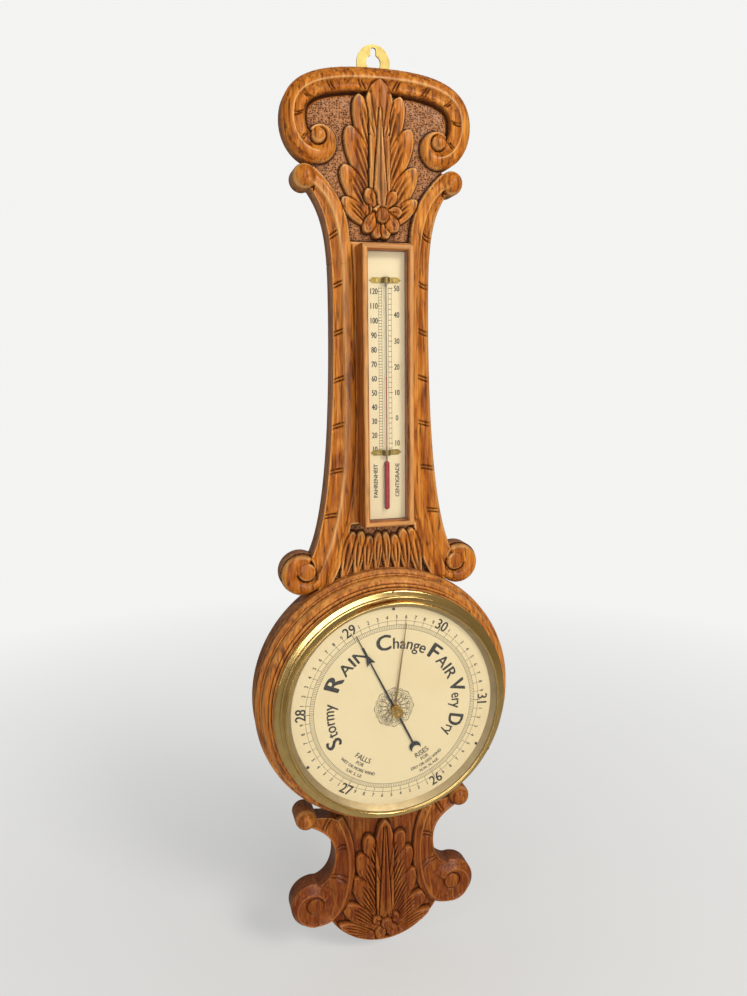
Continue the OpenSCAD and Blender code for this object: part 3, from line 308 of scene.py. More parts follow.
def distanceTo(line, x, z):  # nearest distance to a line of points, and the way along it
    best, along, run = np.full(x.shape, 1e9), np.zeros(x.shape), 0.0
    for (ax, az), (bx, bz) in zip(line[:-1], line[1:]):
        ex, ez = bx - ax, bz - az
        length = math.hypot(ex, ez) + 1e-9
        t = np.clip(((x - ax) * ex + (z - az) * ez) / length ** 2, 0, 1)
        d = np.hypot(x - ax - t * ex, z - az - t * ez)
        near = d < best
        best = np.where(near, d, best)
        along = np.where(near, run + t * length, along)
        run += length
    return best, along


def within(polygon, x, z):
    inside = np.zeros(x.shape, bool)
    for (ax, az), (bx, bz) in zip(polygon, np.roll(polygon, -1, 0)):
        if az != bz:
            inside ^= ((az > z) != (bz > z)) & (x < (bx - ax) * (z - az) / (bz - az) + ax)
    return inside


def signed(polygon, x, z):
    far = distanceTo(np.vstack([polygon, polygon[:1]]), x, z)[0]
    return np.where(within(polygon, x, z), -far, far)


boardSizes = {"ground": 15.0, "leafTop": 20.6, "petalTop": 21.8, "seat": 125.4, "ball": 10.5,
              "ballDepth": 18.0, "seam": 405.0, "plateHalf": 15.3, "plateLow": 531.7, "plateDeep": 2.0}
crestEdge = np.vstack([bezier((0, 569), (47, 569), (85.5, 563), (85.5, 525)),
                       bezier((85.5, 525), (85.5, 505), (71.9, 488), (53.9, 488))[1:]])
neckEdge = np.vstack([bezier((63, 468), (47.5, 447), (44.5, 424), (44.5, 374.9)),
                      bezier((44.5, 374.9), (44.5, 270.9), (50.5, 176), (69, 140))[1:],
                      [(66.3, 134), (64.7, 127.3), (66.5, 121.5), (71, 118.8), (75, 118.4)]])
neckRidge = np.vstack([bezier((63, 473), (40.5, 461), (34.5, 432), (34.5, 374.9)),
                       bezier((34.5, 374.9), (34.5, 275.9), (27.5, 191), (61.5, 125))[1:],
                       [(62.4, 119.8), (66, 115.8), (71, 114.8), (75, 116.6)]])
headField = bezier((28, 424), (28.5, 445), (34.5, 464), (59, 485.5))
footField = bezier((52.5, 109), (42.5, 125), (34.5, 146), (30.5, 170))
tailEdge = np.vstack([bezier((76, -126.5), (57.5, -136), (51.5, -146), (51.5, -161)),
                      bezier((51.5, -161), (51.5, -178), (60.5, -190), (73.5, -191))[1:]])


def tailInner(inset):
    w, low = 37.5 - inset, -233 - inset / 2
    return np.vstack([bezier((w + 12, -122), (w + 4, -138), (w, -152), (w, -173)),
                      bezier((w, -173), (w, -205), (w + 10, low), (69.5, low))[1:]])


tailRidge, tailField = tailInner(0), tailInner(6.5)
crestScroll, neckScroll, tailScroll = (53.9, 507, 19), (77.5, 125, 20), (73.5, -213, 23)  # centre and radius
crestEye, neckEye, tailEye = (54.3, 510.5, 6.4), (73.3, 127.3, 8.6), (72.5, -212, 8.8)
crestRoll = {"shrink": 12.5, "rise": 6.2, "join": 130, "end": 245}
neckRoll = {"shrink": 3.0, "rise": 6.0, "join": 60, "end": 230}
neckBall, tailBall, tailRound = (67, 477), (80, -118), (0, -201.5, 64.9)
crestShape = np.vstack([crestEdge, [(-40, 488), (-40, 569)]])
groundShape = np.vstack([[(-40, 540), (40, 540), (53.9, 507)], neckRidge, [(40, 100), (-40, 100)]])
coveShape = np.vstack([neckEdge, neckRidge[::-1]])
plateShape = np.vstack([headField, neckRidge, [(80, 107), (72, 103), (62, 102)], footField,
                        [(-40, 170), (-40, 424)]])
tailCoveShape = np.vstack([[(80, -118)], tailEdge, [(73.5, -213)], tailRidge[::-1]])
tailBandShape = np.vstack([tailRidge, tailField[::-1]])
tailGroundShape = np.vstack([[(-40, -90), (49.5, -100)], tailRidge, [(40, -233), (-40, -233)]])
# Each leaf as its foot, its tip and its width
crestLobes = [(7, 497, 19, 546, 17), (7, 468, 28, 520, 19), (8, 446, 33, 488, 18), (8, 437, 34, 461, 14)]
crestPetals = [(-4, 454, -12, 469, 11), (6, 454, 14, 467, 10), (7, 450, 20, 450, 10),
               (-1, 444, -3.5, 427, 10), (4, 444, 5.5, 427, 10), (-4, 450, -13.5, 432, 11),
               (6, 449, 15, 433, 13)]
footTongues = [(38, 117, 28, 163, 13), (25, 122, 20, 163, 12), (15, 124, 12, 158, 10.5),
               (5, 125, 3.4, 161, 9)]
tailLobes = [(4, -194, 18.5, -146, 17), (5, -218, 27, -165, 19), (6, -240, 32, -190, 19),
             (9, -250, 43, -219, 18), (11, -260, 53, -241, 16)]
tailPetals = [(0, -246, -13, -238, 11), (2, -246, 14, -237, 11), (1, -246, 3, -230, 12),
              (0, -247, -8, -261, 12), (2, -247, 11, -260, 12)]


def circleGap(x, z, circle):
    return np.hypot(x - circle[0], z - circle[1]) - circle[2]


tailFit = {"top": -122.0, "drawnTop": -118.0, "stretch": 1.017}


def drawnTail(z):  # the tail is drawn a little shorter than it is
    below = z - tailFit["top"]
    return tailFit["drawnTop"] + np.where(below < 0, below / tailFit["stretch"], below)


def upperOutline(x, z):
    a = np.abs(x)
    gap = np.minimum(np.minimum(signed(crestShape, a, z), signed(groundShape, a, z)), signed(coveShape, a, z))
    for circle in (crestScroll, neckScroll, (*neckBall, boardSizes["ball"])):
        gap = np.minimum(gap, circleGap(a, z, circle))
    return np.maximum(gap, boardSizes["seat"] - np.hypot(x, z))


def lowerOutline(x, z):
    a, true = np.abs(x), z
    z = drawnTail(z)
    gap = np.minimum(signed(tailCoveShape, a, z), signed(tailGroundShape, a, z))
    for circle in (tailScroll, (*tailBall, boardSizes["ball"])):
        gap = np.minimum(gap, circleGap(a, z, circle))
    base = np.maximum(np.maximum(circleGap(a, z, tailRound), z + 223), a - 73.5)
    return np.maximum(np.minimum(gap, base), boardSizes["seat"] - np.hypot(x, true))


def unevenGround(x, z):
    return boardSizes["ground"] + 0.25 * np.sin(x * 0.33 + np.sin(z * 0.21)) * np.sin(z * 0.27 + 1)


def cutBeside(h, on, beside, deep):  # a groove that sets a leaf off from what lies under it
    sunk = np.maximum(h - deep * bell(beside / 0.9), np.minimum(h, boardSizes["ground"] - 0.4))
    return np.where(on & (beside > 0), sunk, h)


def raiseLeaf(h, x, z, leaf, top, curl=1.0, cuts=(-0.72, -0.3, 0.12), cutDepth=3.0):
    fx, fz, tx, tz, width = leaf
    length = math.hypot(tx - fx, tz - fz)
    ux, uz = (tx - fx) / length, (tz - fz) / length
    t = ((x - fx) * ux + (z - fz) * uz) / length
    side = 1 if fx + tx >= 0 else -1
    tipped = np.clip(1 - np.abs((t - 0.55) / 0.45) ** 2.2, 0, 1) ** 0.5
    half = width / 2 * np.where(t > 0.55, tipped, 0.5 + 0.5 * smooth(t / 0.55))
    v = side * ((x - fx) * uz - (z - fz) * ux) / np.maximum(half, 0.01)  # 1 on the outer edge
    dome = np.sqrt(np.clip(1 - np.abs(v) ** 3, 0, 1))
    base = boardSizes["ground"]
    body = base + (top - base) * (0.55 + 0.45 * dome) * (0.72 + 0.28 * smooth(t * 1.7))
    body = body + curl * bell((t - 0.84) / 0.16) * dome * (0.6 + 0.4 * v)
    wide = min(0.17, 0.36 / max(1, len(cuts) - 1))
    for k, place in enumerate(cuts):  # gouges that run out towards the tip
        reach = 0.88 - 0.09 * abs(k - 1)
        body = body - cutDepth * bell((v - place) / wide) * smooth((reach - t) * 4) * smooth((t - 0.05) * 4)
    on = (t > 0) & (t < 1)
    beside = np.clip(np.abs(v) - 1, 0, None) * half
    return np.where(on & (np.abs(v) < 1), np.maximum(body, base + 1.5), cutBeside(h, on, beside, 1.6))


def raiseLeaves(h, x, z, leaves, paired, *shape):
    for fx, fz, tx, tz, width in leaves:
        h = raiseLeaf(h, x, z, (fx, fz, tx, tz, width), *shape)
        if paired:
            h = raiseLeaf(h, x, z, (-fx, fz, -tx, tz, width), *shape)
    return h


def notchDepth(along, share, starts, slant, wide=0.75, apart=3.0):  # pairs of slanting cuts across a cove
    cut = np.zeros(along.shape)
    for start in starts:
        for shift in (-apart / 2, apart / 2):
            cut = np.maximum(cut, bell((along - start - shift + slant * (share - 0.5)) / wide))
    return cut * smooth(share * 6) * smooth((1 - share) * 6)


def scrollFace(h, a, z, scroll, eye, turn, start, fade, eyeRise):  # a roll that winds round a raised eye
    cx, cz, radius = scroll
    angle = np.degrees(np.arctan2(turn * (a - cx), cz - z))  # 0 at the bottom, growing with the roll
    angle = np.where(angle < start - 40, angle + 360, angle)
    edge = radius - np.hypot(a - cx, z - cz) - fade["shrink"] * np.clip(angle, 0, 270) / 360
    gap = circleGap(a, z, eye)
    share = edge / np.maximum(edge + np.maximum(gap, 0), 0.01)
    roll = 16.8 + fade["rise"] * np.sin(np.pi * np.clip(share, 0.001, 0.999)) ** 0.55
    joined = smooth((angle - fade["join"]) / 60)
    roll = roll + (22.4 - roll) * joined * smooth(share * 1.6)
    weight = smooth((angle - start) / 55) * smooth((fade["end"] - angle) / 30)
    h = np.where((edge > 0) & (gap >= 0), h + (roll - h) * weight, h)
    groove = bell(gap / 0.9) * (1 - joined) * smooth((angle - start + 120) / 60)
    h = h - 2.6 * groove * (edge > 0)
    inner = np.clip(1 - ((gap + eye[2]) / eye[2]) ** 2, 0, 1)
    return np.where(gap < 0, np.maximum(20.5, 21.4 + eyeRise * np.sqrt(inner) - 1.4 * groove), h)


def ballOn(h, a, z, centre):
    rise = boardSizes["ball"] ** 2 - (a - centre[0]) ** 2 - (z - centre[1]) ** 2
    return np.where(rise > 0, np.maximum(h, boardSizes["ballDepth"] + np.sqrt(np.maximum(rise, 0))), h)


def upperRelief(x, z):  # depths, and a mark: above zero the ridge lines that handling has worn pale, with a painted highlight along them that is strongest on the left; below zero painted shade
    a = np.abs(x)
    h = unevenGround(x, z)
    edge, run = distanceTo(crestEdge, a, z)
    band = within(crestShape, a, z) & ((a > 53.9) | (z > 530))
    roll = 16.6 + 6.4 * np.sin(np.pi / 2 * np.clip(edge / 9.4, 0, 1)) ** 0.9
    share = np.clip((edge - 9.75) / 9.75, 0, 1)
    cove = 23 - 2.0 * share - 2.9 * np.sin(np.pi * share)
    cove = cove - 1.7 * notchDepth(run, share, np.arange(16, 150, 29.5), 5.0)
    crest = np.where(edge < 9.75, roll, cove)
    wornAndLit = bell((edge - 9.6) / 0.6) * band
    # painted shade along the crest band's inner edge
    undercutShade = (bell((edge - 18.8) / 1.0) + 1.3 * bell((edge - 20.7) / 1.0)) * band
    h = np.where(band, h + (np.maximum(crest, h) - h) * smooth(20.6 - edge), h)
    h = h - 1.5 * bell((edge - 21.4) / 0.9) * (band & (edge > 20.4))
    h = scrollFace(h, a, z, crestScroll, crestEye, -1, -50, crestRoll, 3.8)
    toEdge, run = distanceTo(neckEdge, a, z)
    toRidge = distanceTo(neckRidge, a, z)[0]
    share = toEdge / (toEdge + toRidge + 1e-6)
    cove = 21.8 - 3.0 * np.sin(np.pi * share) ** 0.8 + 1.3 * share ** 3
    cove = cove - 2.0 * notchDepth(run, share, np.arange(1.4, 330, 41.5), 4.5)
    h = np.where(within(coveShape, a, z), cove, h)
    # painted highlight along the neck ridges, full on the left and weaker on the right, with wear
    handledAndLit = np.where(x < 0, 1.0, 0.3 + 0.5 * smooth((z - 380) / 50))
    wornAndLit = np.maximum(wornAndLit, handledAndLit * bell(toRidge / np.where(x < 0, 1.5, 0.8)) * smooth((z - 128) / 20))
    toField = np.minimum(distanceTo(headField, a, z)[0], distanceTo(footField, a, z)[0])
    plain = smooth((z - 168) / 6) * smooth((426 - z) / 6)
    width = np.minimum(toRidge + toField, 9.2) * (1 - plain) + 9.2 * plain
    share = np.clip(toRidge / width, 0, 1)
    plate = 22.4 + 0.8 * np.sin(np.pi * share) ** 0.7 - 1.0 * bell((toRidge - 9.2) / 0.6) * plain
    plate = plate - 1.5 * (1 - plain) * share ** 4
    h = np.where(within(plateShape, a, z), plate, h)
    h = raiseLeaves(h, x, z, crestLobes, True, boardSizes["leafTop"])
    h = plume(h, x, z, [446, 470, 515, 532, 537, 542, 546, 550, 553, 556, 558, 559],
              [9, 9.5, 8.6, 9.4, 11, 11.9, 11.2, 9.6, 7.8, 5.2, 2.8, 0.1], 498)
    h = splitStem(h, x, z, [446, 466, 536], [7, 6, 0.7])
    # painted highlight down the middle stem
    wornAndLit = np.maximum(wornAndLit, 0.6 * bell(x / 4) * smooth((z - 450) / 10) * smooth((532 - z) / 20))
    h = raiseLeaves(h, x, z, crestPetals, False, boardSizes["petalTop"], 1.2, (0.0,), 1.2)
    h = stripedBud(h, x, z, (2, 447, 5.8, 6.8))
    h = raiseLeaves(h, x, z, footTongues, True, boardSizes["leafTop"], 0.5, (-0.45, 0.35), 2.4)
    h = scrollFace(h, a, z, neckScroll, neckEye, 1, -75, neckRoll, 1.8)
    return ballOn(h, a, z, neckBall), wornAndLit - undercutShade * (h < 21.6)  # below zero it is painted shade under the crest's inner edge


def plume(h, x, z, heights, halves, root):  # the long middle leaf, with fine cuts that gather at its root
    low, high = heights[0], heights[-1]
    half = np.maximum(np.interp(z, heights, halves), 0.1)
    v = x / half
    turn = np.arctan2(x, z - root)
    fine = np.clip(np.cos(turn * 40), 0, 1) ** 2 * smooth((z - root - 8) / 12) * smooth((high - 2 - z) / 8)
    side = bell((np.abs(v) - 0.55) / 0.1) * smooth((root + 20 - z) / 12)
    top = 22.8 - 1.6 * np.abs(v) ** 3 - 1.6 * fine - 1.2 * side
    on = (z > low) & (z < high)
    beside = np.clip(np.abs(v) - 1, 0, None) * half
    return np.where(on & (np.abs(v) < 1), top, cutBeside(h, on, beside, 1.8))


def splitStem(h, x, z, heights, halves):  # two rounded reeds with a groove between them
    stem = np.interp(z, heights, halves)
    v = x / stem
    top = 24.3 - 1.9 * bell(v / 0.2) - 1.3 * v ** 4
    on = (z > heights[0]) & (z < heights[-1])
    h = np.where(on, h - 2.4 * bell((np.abs(x) - stem) / 0.9), h)
    return np.where(on & (np.abs(v) < 1), top, h)


def stripedBud(h, x, z, bud):
    cx, cz, wide, tall = bud
    rise = 1 - ((x - cx) / wide) ** 2 - ((z - cz) / tall) ** 2
    h = h - 1.6 * bell(rise / 0.25) * (rise < 0)
    stripes = 0.5 * np.clip(np.cos((x - cx) * 2.6), 0, 1)
    return np.where(rise > 0, 20.8 + 4.2 * np.sqrt(np.maximum(rise, 0)) - stripes, h)


def lowerRelief(x, z):
    a, z = np.abs(x), drawnTail(z)
    h = unevenGround(x, z)
    lobeCuts = (-0.72, -0.38, -0.02, 0.34, 0.68)
    h = raiseLeaves(h, x, z, tailLobes, True, boardSizes["leafTop"], 2.2, lobeCuts, 2.3)
    h = plume(h, x, z, [-240, -225, -170, -150, -138, -130], [8, 9, 9.5, 9, 6, 0.5], -214)
    h = splitStem(h, x, z, [-234, -138], [6.5, 1.0])
    h = raiseLeaves(h, x, z, tailPetals, False, boardSizes["petalTop"], 1.2, (0.0,), 1.6)
    h = stripedBud(h, x, z, (1, -245, 6, 6))
    rim = circleGap(a, z, tailRound)
    onRim = (rim > -3.0) & (z < -225)
    h = np.where(onRim, 15.4 + 2.8 * bell((rim + 1.3) / 0.9), h)
    # wear with painted highlight on the rim, the ridges and the spiral
    wornAndLit = bell((rim + 1.3) / 0.6) * onRim
    toEdge, run = distanceTo(tailEdge, a, z)
    toRidge = distanceTo(tailRidge, a, z)[0]
    share = toEdge / (toEdge + toRidge + 1e-6)
    cove = 21.4 - 3.4 * np.sin(np.pi * share) ** 0.8 + 1.9 * share ** 3
    cove = cove - 1.8 * notchDepth(run, share, np.arange(14, 90, 26), 3.0)
    h = np.where(within(tailCoveShape, a, z), cove, h)
    toField = distanceTo(tailField, a, z)[0]
    share = toRidge / (toRidge + toField + 1e-6)
    h = np.where(within(tailBandShape, a, z), 23.2 - 4.4 * share ** 1.2, h)
    wornAndLit = np.maximum(wornAndLit, bell(toRidge / 0.8))
    cx, cz, radius = tailScroll
    angle = np.degrees(np.arctan2(a - cx, cz - z))
    angle = np.where(angle < -120, angle + 360, angle)
    far = np.hypot(a - cx, z - cz)
    ridge = 20.4 - 0.036 * np.clip(angle, -30, 300)
    slope = np.clip((radius - far) / np.maximum(radius - ridge, 0.5), 0, 1)
    inner = np.clip((ridge - far) / 9, 0, 1)
    face = np.where(far > ridge, 17.2 + 6 * slope, 23.2 - 2.6 * np.sin(np.pi / 2 * inner) ** 0.7)
    eye = circleGap(a, z, tailEye)
    crown = np.sqrt(np.clip(1 - ((eye + tailEye[2]) / tailEye[2]) ** 2, 0, 1))
    face = np.where(eye < 0, 21.2 + 1.2 * crown, face)
    face = face - 1.6 * bell(eye / 0.8) * smooth((300 - angle) / 80)
    weight = smooth((angle + 30) / 26) * smooth((330 - angle) / 60)
    weight = np.maximum(weight, smooth(-eye / 2))
    h = np.where(far < radius, h + (face - h) * weight, h)
    spiral = smooth((angle + 14) / 8) * smooth((250 - angle) / 40)
    wornAndLit = np.maximum(wornAndLit, bell((far - ridge) / 0.8) * spiral * (eye > 1))
    return ballOn(h, a, z, tailBall), wornAndLit


def blurred(values, reach):  # mean over a square of cells
    padded = np.pad(values, ((reach + 1, reach), (reach + 1, reach)), mode="edge").cumsum(0).cumsum(1)
    n = 2 * reach + 1
    return (padded[n:, n:] - padded[:-n, n:] - padded[n:, :-n] + padded[:-n, :-n]) / n ** 2


def carvedBoard(name, xs, zs, outline, relief, notch=None):
    gx, gz = np.meshgrid(xs, zs)
    gap = outline(gx, gz)
    deep, wornAndLit = relief(gx, gz)
    near, wide = blurred(deep, 3) - deep, blurred(deep, 8) - deep
    # painted shade: darker in recesses, and under the crest's inner edge where the relief's mark falls below
    # zero
    paintedShade = 0.9 * smooth(near / 1.4) + 0.55 * smooth(wide / 3.2) + np.clip(-wornAndLit - 0.6, 0, 1)
    paintedShade = np.clip(paintedShade, 0, 0.96)
    # painted highlight on raised places, together with the relief's wear along the ridges
    wearAndHighlight = np.clip(0.75 * smooth((-near - 0.15) / 1.1) + 0.7 * wornAndLit, 0, 1) * (1 - paintedShade)
    matting = np.abs(deep - unevenGround(gx, gz)) < 0.02
    inside = gap < 0
    index = np.full(gap.shape, -1)
    index[inside] = np.arange(inside.sum())
    across = inside[:, :-1] != inside[:, 1:]
    down = inside[:-1] != inside[1:]
    share = (gap[:, :-1] / (gap[:, :-1] - gap[:, 1:] + 1e-12))[across]
    acrossX = gx[:, :-1][across] + share * np.diff(gx, axis=1)[across]
    share = (gap[:-1] / (gap[:-1] - gap[1:] + 1e-12))[down]
    downZ = gz[:-1][down] + share * np.diff(gz, axis=0)[down]
    x = np.concatenate([gx[inside], acrossX, gx[:-1][down]])
    z = np.concatenate([gz[inside], gz[:, :-1][across], downZ])
    acrossIndex, downIndex = np.full(across.shape, -1), np.full(down.shape, -1)
    acrossIndex[across] = inside.sum() + np.arange(across.sum())
    downIndex[down] = inside.sum() + across.sum() + np.arange(down.sum())
    towardX = np.where(inside[:, :-1][across], gx[:, :-1][across], gx[:, 1:][across])
    towardZ = np.where(inside[:-1][down], gz[:-1][down], gz[1:][down])
    probeX = np.concatenate([acrossX + 0.2 * (towardX - acrossX), gx[:-1][down]])
    probeZ = np.concatenate([gz[:, :-1][across], downZ + 0.2 * (towardZ - downZ)])
    depth = np.concatenate([deep[inside], relief(probeX, probeZ)[0]])
    rim = np.full(across.sum() + down.sum(), 0.12)
    marks = {"paintedShade": np.concatenate([paintedShade[inside], rim]), "wearAndHighlight": np.concatenate([wearAndHighlight[inside], rim]),
             "matting": np.concatenate([matting[inside], rim])}
    points = np.column_stack([x, depth, z]).tolist()
    count = inside[:-1, :-1] * 1 + inside[:-1, 1:] + inside[1:, 1:] + inside[1:, :-1]
    i, j = np.nonzero(count == 4)
    faces = np.stack([index[i, j], index[i, j + 1], index[i + 1, j + 1], index[i + 1, j]], 1).tolist()
    following = {}
    for i, j in zip(*np.nonzero((count > 0) & (count < 4))):
        corners = ((i, j), (i, j + 1), (i + 1, j + 1), (i + 1, j))
        sides = (acrossIndex[i, j], downIndex[i, j + 1], acrossIndex[i + 1, j], downIndex[i, j])
        ring, leaving, first = [], None, None
        for corner, side in zip(corners, sides):
            if inside[corner]:
                ring.append(index[corner])
            if side >= 0:
                ring.append(side)
                if inside[corner]:
                    leaving = side
                elif leaving is None:
                    first = side
                else:
                    following[leaving], leaving = side, None
        if leaving is not None:
            following[leaving] = first
        faces.append([int(v) for v in ring])
    start = next(iter(following))
    loop = [start]
    while following[loop[-1]] != start:
        loop.append(following[loop[-1]])
    print(name, "edge points", len(loop), "of", len(following))
    made = {}

    def behind(v, d):  # the point straight behind another
        if (v, d) not in made:
            made[v, d] = len(points)
            points.append([points[v][0], d, points[v][2]])
        return made[v, d]

    def filled(ring):  # triangles over a flat ring of points
        flat = [Vector((points[v][0], points[v][2], 0)) for v in ring]
        return [[ring[k] for k in corners] for corners in tessellate_polygon([flat])]

    def sunk(v):  # 2 between the corners of the plate's seat, 1 on a corner
        if notch is None or points[v][2] < notch[1] or abs(points[v][0]) > notch[0] + 1e-6:
            return 0
        return 1 if abs(abs(points[v][0]) - notch[0]) < 1e-6 else 2
    while sunk(loop[0]):
        loop = loop[1:] + loop[:1]
    for a, b in zip(loop, loop[1:] + loop[:1]):
        d = notch[2] if sunk(a) and sunk(b) else 0.0
        wall = [a, b, behind(b, d)]
        if d == 0 and sunk(b):
            wall = [a, b, behind(b, notch[2]), behind(b, d)]
        wall.append(behind(a, d))
        if d == 0 and sunk(a):
            wall.append(behind(a, notch[2]))
        faces.append(wall)
    cap = [behind(v, 0.0) for v in loop if sunk(v) < 2]
    if notch:
        seat = [v for v in loop if sunk(v)]
        ends = []
        for d in (0.0, notch[2]):
            for v in (seat[0], seat[-1]):
                ends.append(len(points))
                points.append([points[v][0], d, notch[1]])
        where = cap.index(behind(seat[0], 0.0)) + 1
        cap[where:where] = [ends[0], ends[1]]
        floor = [behind(v, notch[2]) for v in seat] + [ends[3], ends[2]]
        faces += [[behind(seat[0], 0.0), ends[0], ends[2], behind(seat[0], notch[2])],
                  [behind(seat[-1], 0.0), ends[1], ends[3], behind(seat[-1], notch[2])],
                  [ends[0], ends[1], ends[3], ends[2]]]
        faces += filled(floor)
    faces += filled(cap)
    extra = len(points) - len(x)
    # painted shade on the walls and back
    marks = {key: np.concatenate([values, np.full(extra, 0.55 if key == "paintedShade" else 0.0)])
             for key, values in marks.items()}
    settle(meshPiece(name, points, faces, oak, 48, False, marks), "oak", "case", "case_board")


def steps(*stops):  # rows at a spacing that may change from zone to zone
    rows = [np.linspace(a, b, max(2, round(abs(b - a) / step)), endpoint=False) for a, step, b in stops]
    return np.concatenate(rows + [[stops[-1][2]]])


def crestOutline(x, z):
    return np.maximum(upperOutline(x, z), boardSizes["seam"] - z)


def neckOutline(x, z):
    return np.maximum(upperOutline(x, z), z - boardSizes["seam"])


seam, half = boardSizes["seam"], boardSizes["plateHalf"]
outward = steps((half, 0.56, 90))
crestColumns = np.concatenate([-outward[::-1], steps((-half, 0.56, half))[1:-1], outward])
carvedBoard("carvedCrest", crestColumns, steps((seam - 1, 0.56, 571)), crestOutline, upperRelief,
            (half, boardSizes["plateLow"], boardSizes["plateDeep"]))
neckRows = steps((88, 0.66, 171), (171, 0.9, seam + 1))
carvedBoard("carvedNeck", steps((-99, 0.6, 99)), neckRows, neckOutline, upperRelief)
carvedBoard("carvedTail", steps((-98, 0.55, 98)), steps((-274.5, 0.55, -90)), lowerOutline, lowerRelief)
print("board carved")


# Turned work

def turned(profile, count):
    line = np.asarray(profile, float)
    a = np.linspace(0, 2 * np.pi, count, endpoint=False)
    n = len(line)
    points = np.stack([np.outer(np.sin(a), line[:, 0]), np.tile(line[:, 1], (count, 1)),
                       np.outer(np.cos(a), line[:, 0])], -1).reshape(-1, 3)
    i, j = np.meshgrid(np.arange(count), np.arange(n), indexing="ij")
    keep = (line[j, 0] > 0) | (line[(j + 1) % n, 0] > 0)
    i, j = i[keep], j[keep]
    i2, j2 = (i + 1) % count, (j + 1) % n
    return points, np.stack([i * n + j, i * n + j2, i2 * n + j2, i2 * n + j], 1).tolist()


def turnedPiece(name, profile, material, sharp=35, count=256, marks=None):
    points, faces = turned(profile, count)
    spreadMarks = {key: np.tile(values, count) for key, values in (marks or {}).items()}
    return meshPiece(name, points, faces, material, sharp, True, spreadMarks)


discLine = [(78, 6), (84.3, 6), (84.3, 0), (125, 0), (126, 0.8), (126, 22.2), (125.4, 22.8), (78, 22.8)]
# painted shade on the disc: darker on its inner side and back, lighter on its front
discMarks = {"paintedShade": [0.6, 0.6, 0.55, 0.55, 0.5, 0.25, 0.2, 0.2]}
settle(turnedPiece("boardDisc", discLine, oak, marks=discMarks), "oak", "case", "case_board")

surround = {"outer": 127.0, "inner": 113.0, "low": 25.0, "high": 50.0,
            "beads": [(0.0, 0.25, 2.7), (0.26, 0.34, 1.7), (0.35, 0.72, 3.5), (0.74, 0.85, 2.1),
                      (0.89, 0.99, 1.5)]}  # each as two shares of the slope and its rise


def surroundProfile(look):
    start = np.array([look["outer"], look["low"]])
    way = np.array([look["inner"], look["high"]]) - start
    out = np.array([way[1], -way[0]]) / np.hypot(*way)
    line, paintedShade, wearAndHighlight = [(look["outer"], 23.0)], [0.2], [0.0]
    for low, high, rise in look["beads"]:
        for s in np.linspace(0, np.pi, 13):
            share = low + (high - low) * (0.5 - 0.5 * math.cos(s))
            lift = rise * math.sin(s) - 1.9
            line.append(tuple(start + way * share + out * lift))
            # painted shade in the grooves between beads, and a painted highlight with wear on the bead crests
            paintedShade.append(max(0.0, 0.95 - 2.0 * math.sin(s)))
            wearAndHighlight.append(0.4 * math.sin(s) ** 6)
    line = [(min(r, look["outer"]), d) for r, d in line]
    for corner in ((109, 50), (109, 53), (88, 53), (88, 23)):
        line.append(corner)
        paintedShade.append(0.2)
        wearAndHighlight.append(0.0)
    return line, {"paintedShade": paintedShade, "wearAndHighlight": wearAndHighlight}


ringLine, ringMarks = surroundProfile(surround)
settle(turnedPiece("turnedSurround", ringLine, oak, 40, marks=ringMarks), "oak", "case", "dial_surround")


def arc(centre, radius, start, end, count):
    return [(centre[0] + radius * math.sin(math.radians(a)), centre[1] + radius * math.cos(math.radians(a)))
            for a in np.linspace(start, end, count)]


bezelLine = ([(109.3, 50), (113, 50), (113, 52.3)] + arc((111.2, 52.4), 1.8, 88, 15, 9)
             + [(110.2, 54.35), (108.6, 54.7), (107.9, 54.95)] + arc((107.0, 56.0), 0.75, 110, -10, 10)
             + [(106.3 - 2.4 * t - 0.3 * math.sin(math.pi * t), 56.9 + 5.2 * t) for t in np.linspace(0, 1, 9)]
             + arc((102.9, 62.55), 0.95, 60, -80, 10)
             + [(101.65, 62.6), (101.6, 62.2), (104.3, 62.2), (104.3, 53.2), (109.3, 53.2)])
settle(turnedPiece("brassBezel", bezelLine, bezelBrass, 30, 320), "polished_brass", "case", "bezel")
sightLine = [(97.6, 55), (104, 55), (104, 60.2), (101.9, 60.2), (101.5, 60.0), (97.9, 55.5), (97.6, 55.3)]
settle(turnedPiece("sightRing", sightLine, sightGilt, 30), "sight", "case", "sight_ring")
print("turned work made")


# Thermometer box: mitred walls with a rounded front

boxSizes = {"half": 23.5, "low": 171.0, "high": 420.0, "wall": 5.2, "back": 23.0, "front": 46.0, "round": 2.5,
            "paneBack": 40.7, "paneFront": 43.0, "lap": 2.3}


def boxProfile(b):  # inset from the outer face and depth
    wall, front, curve = b["wall"], b["front"], b["round"]
    top, rebate = front - curve, wall - b["lap"]
    line = [(0, b["back"]), (0, top)]
    line += [(curve - curve * math.cos(a), top + curve * math.sin(a)) for a in np.linspace(0.15, 1.57, 8)]
    for inset, fall in ((1.5, 0.15), (0.9, 0.7), (0.75, 1.3), (0.3, 1.45), (0.0, 1.9)):  # moulded inner edge
        line.append((wall - inset, front - fall))
    return line + [(wall, b["paneFront"]), (rebate, b["paneFront"]), (rebate, b["paneBack"]),
                   (wall, b["paneBack"]), (wall, b["back"])]


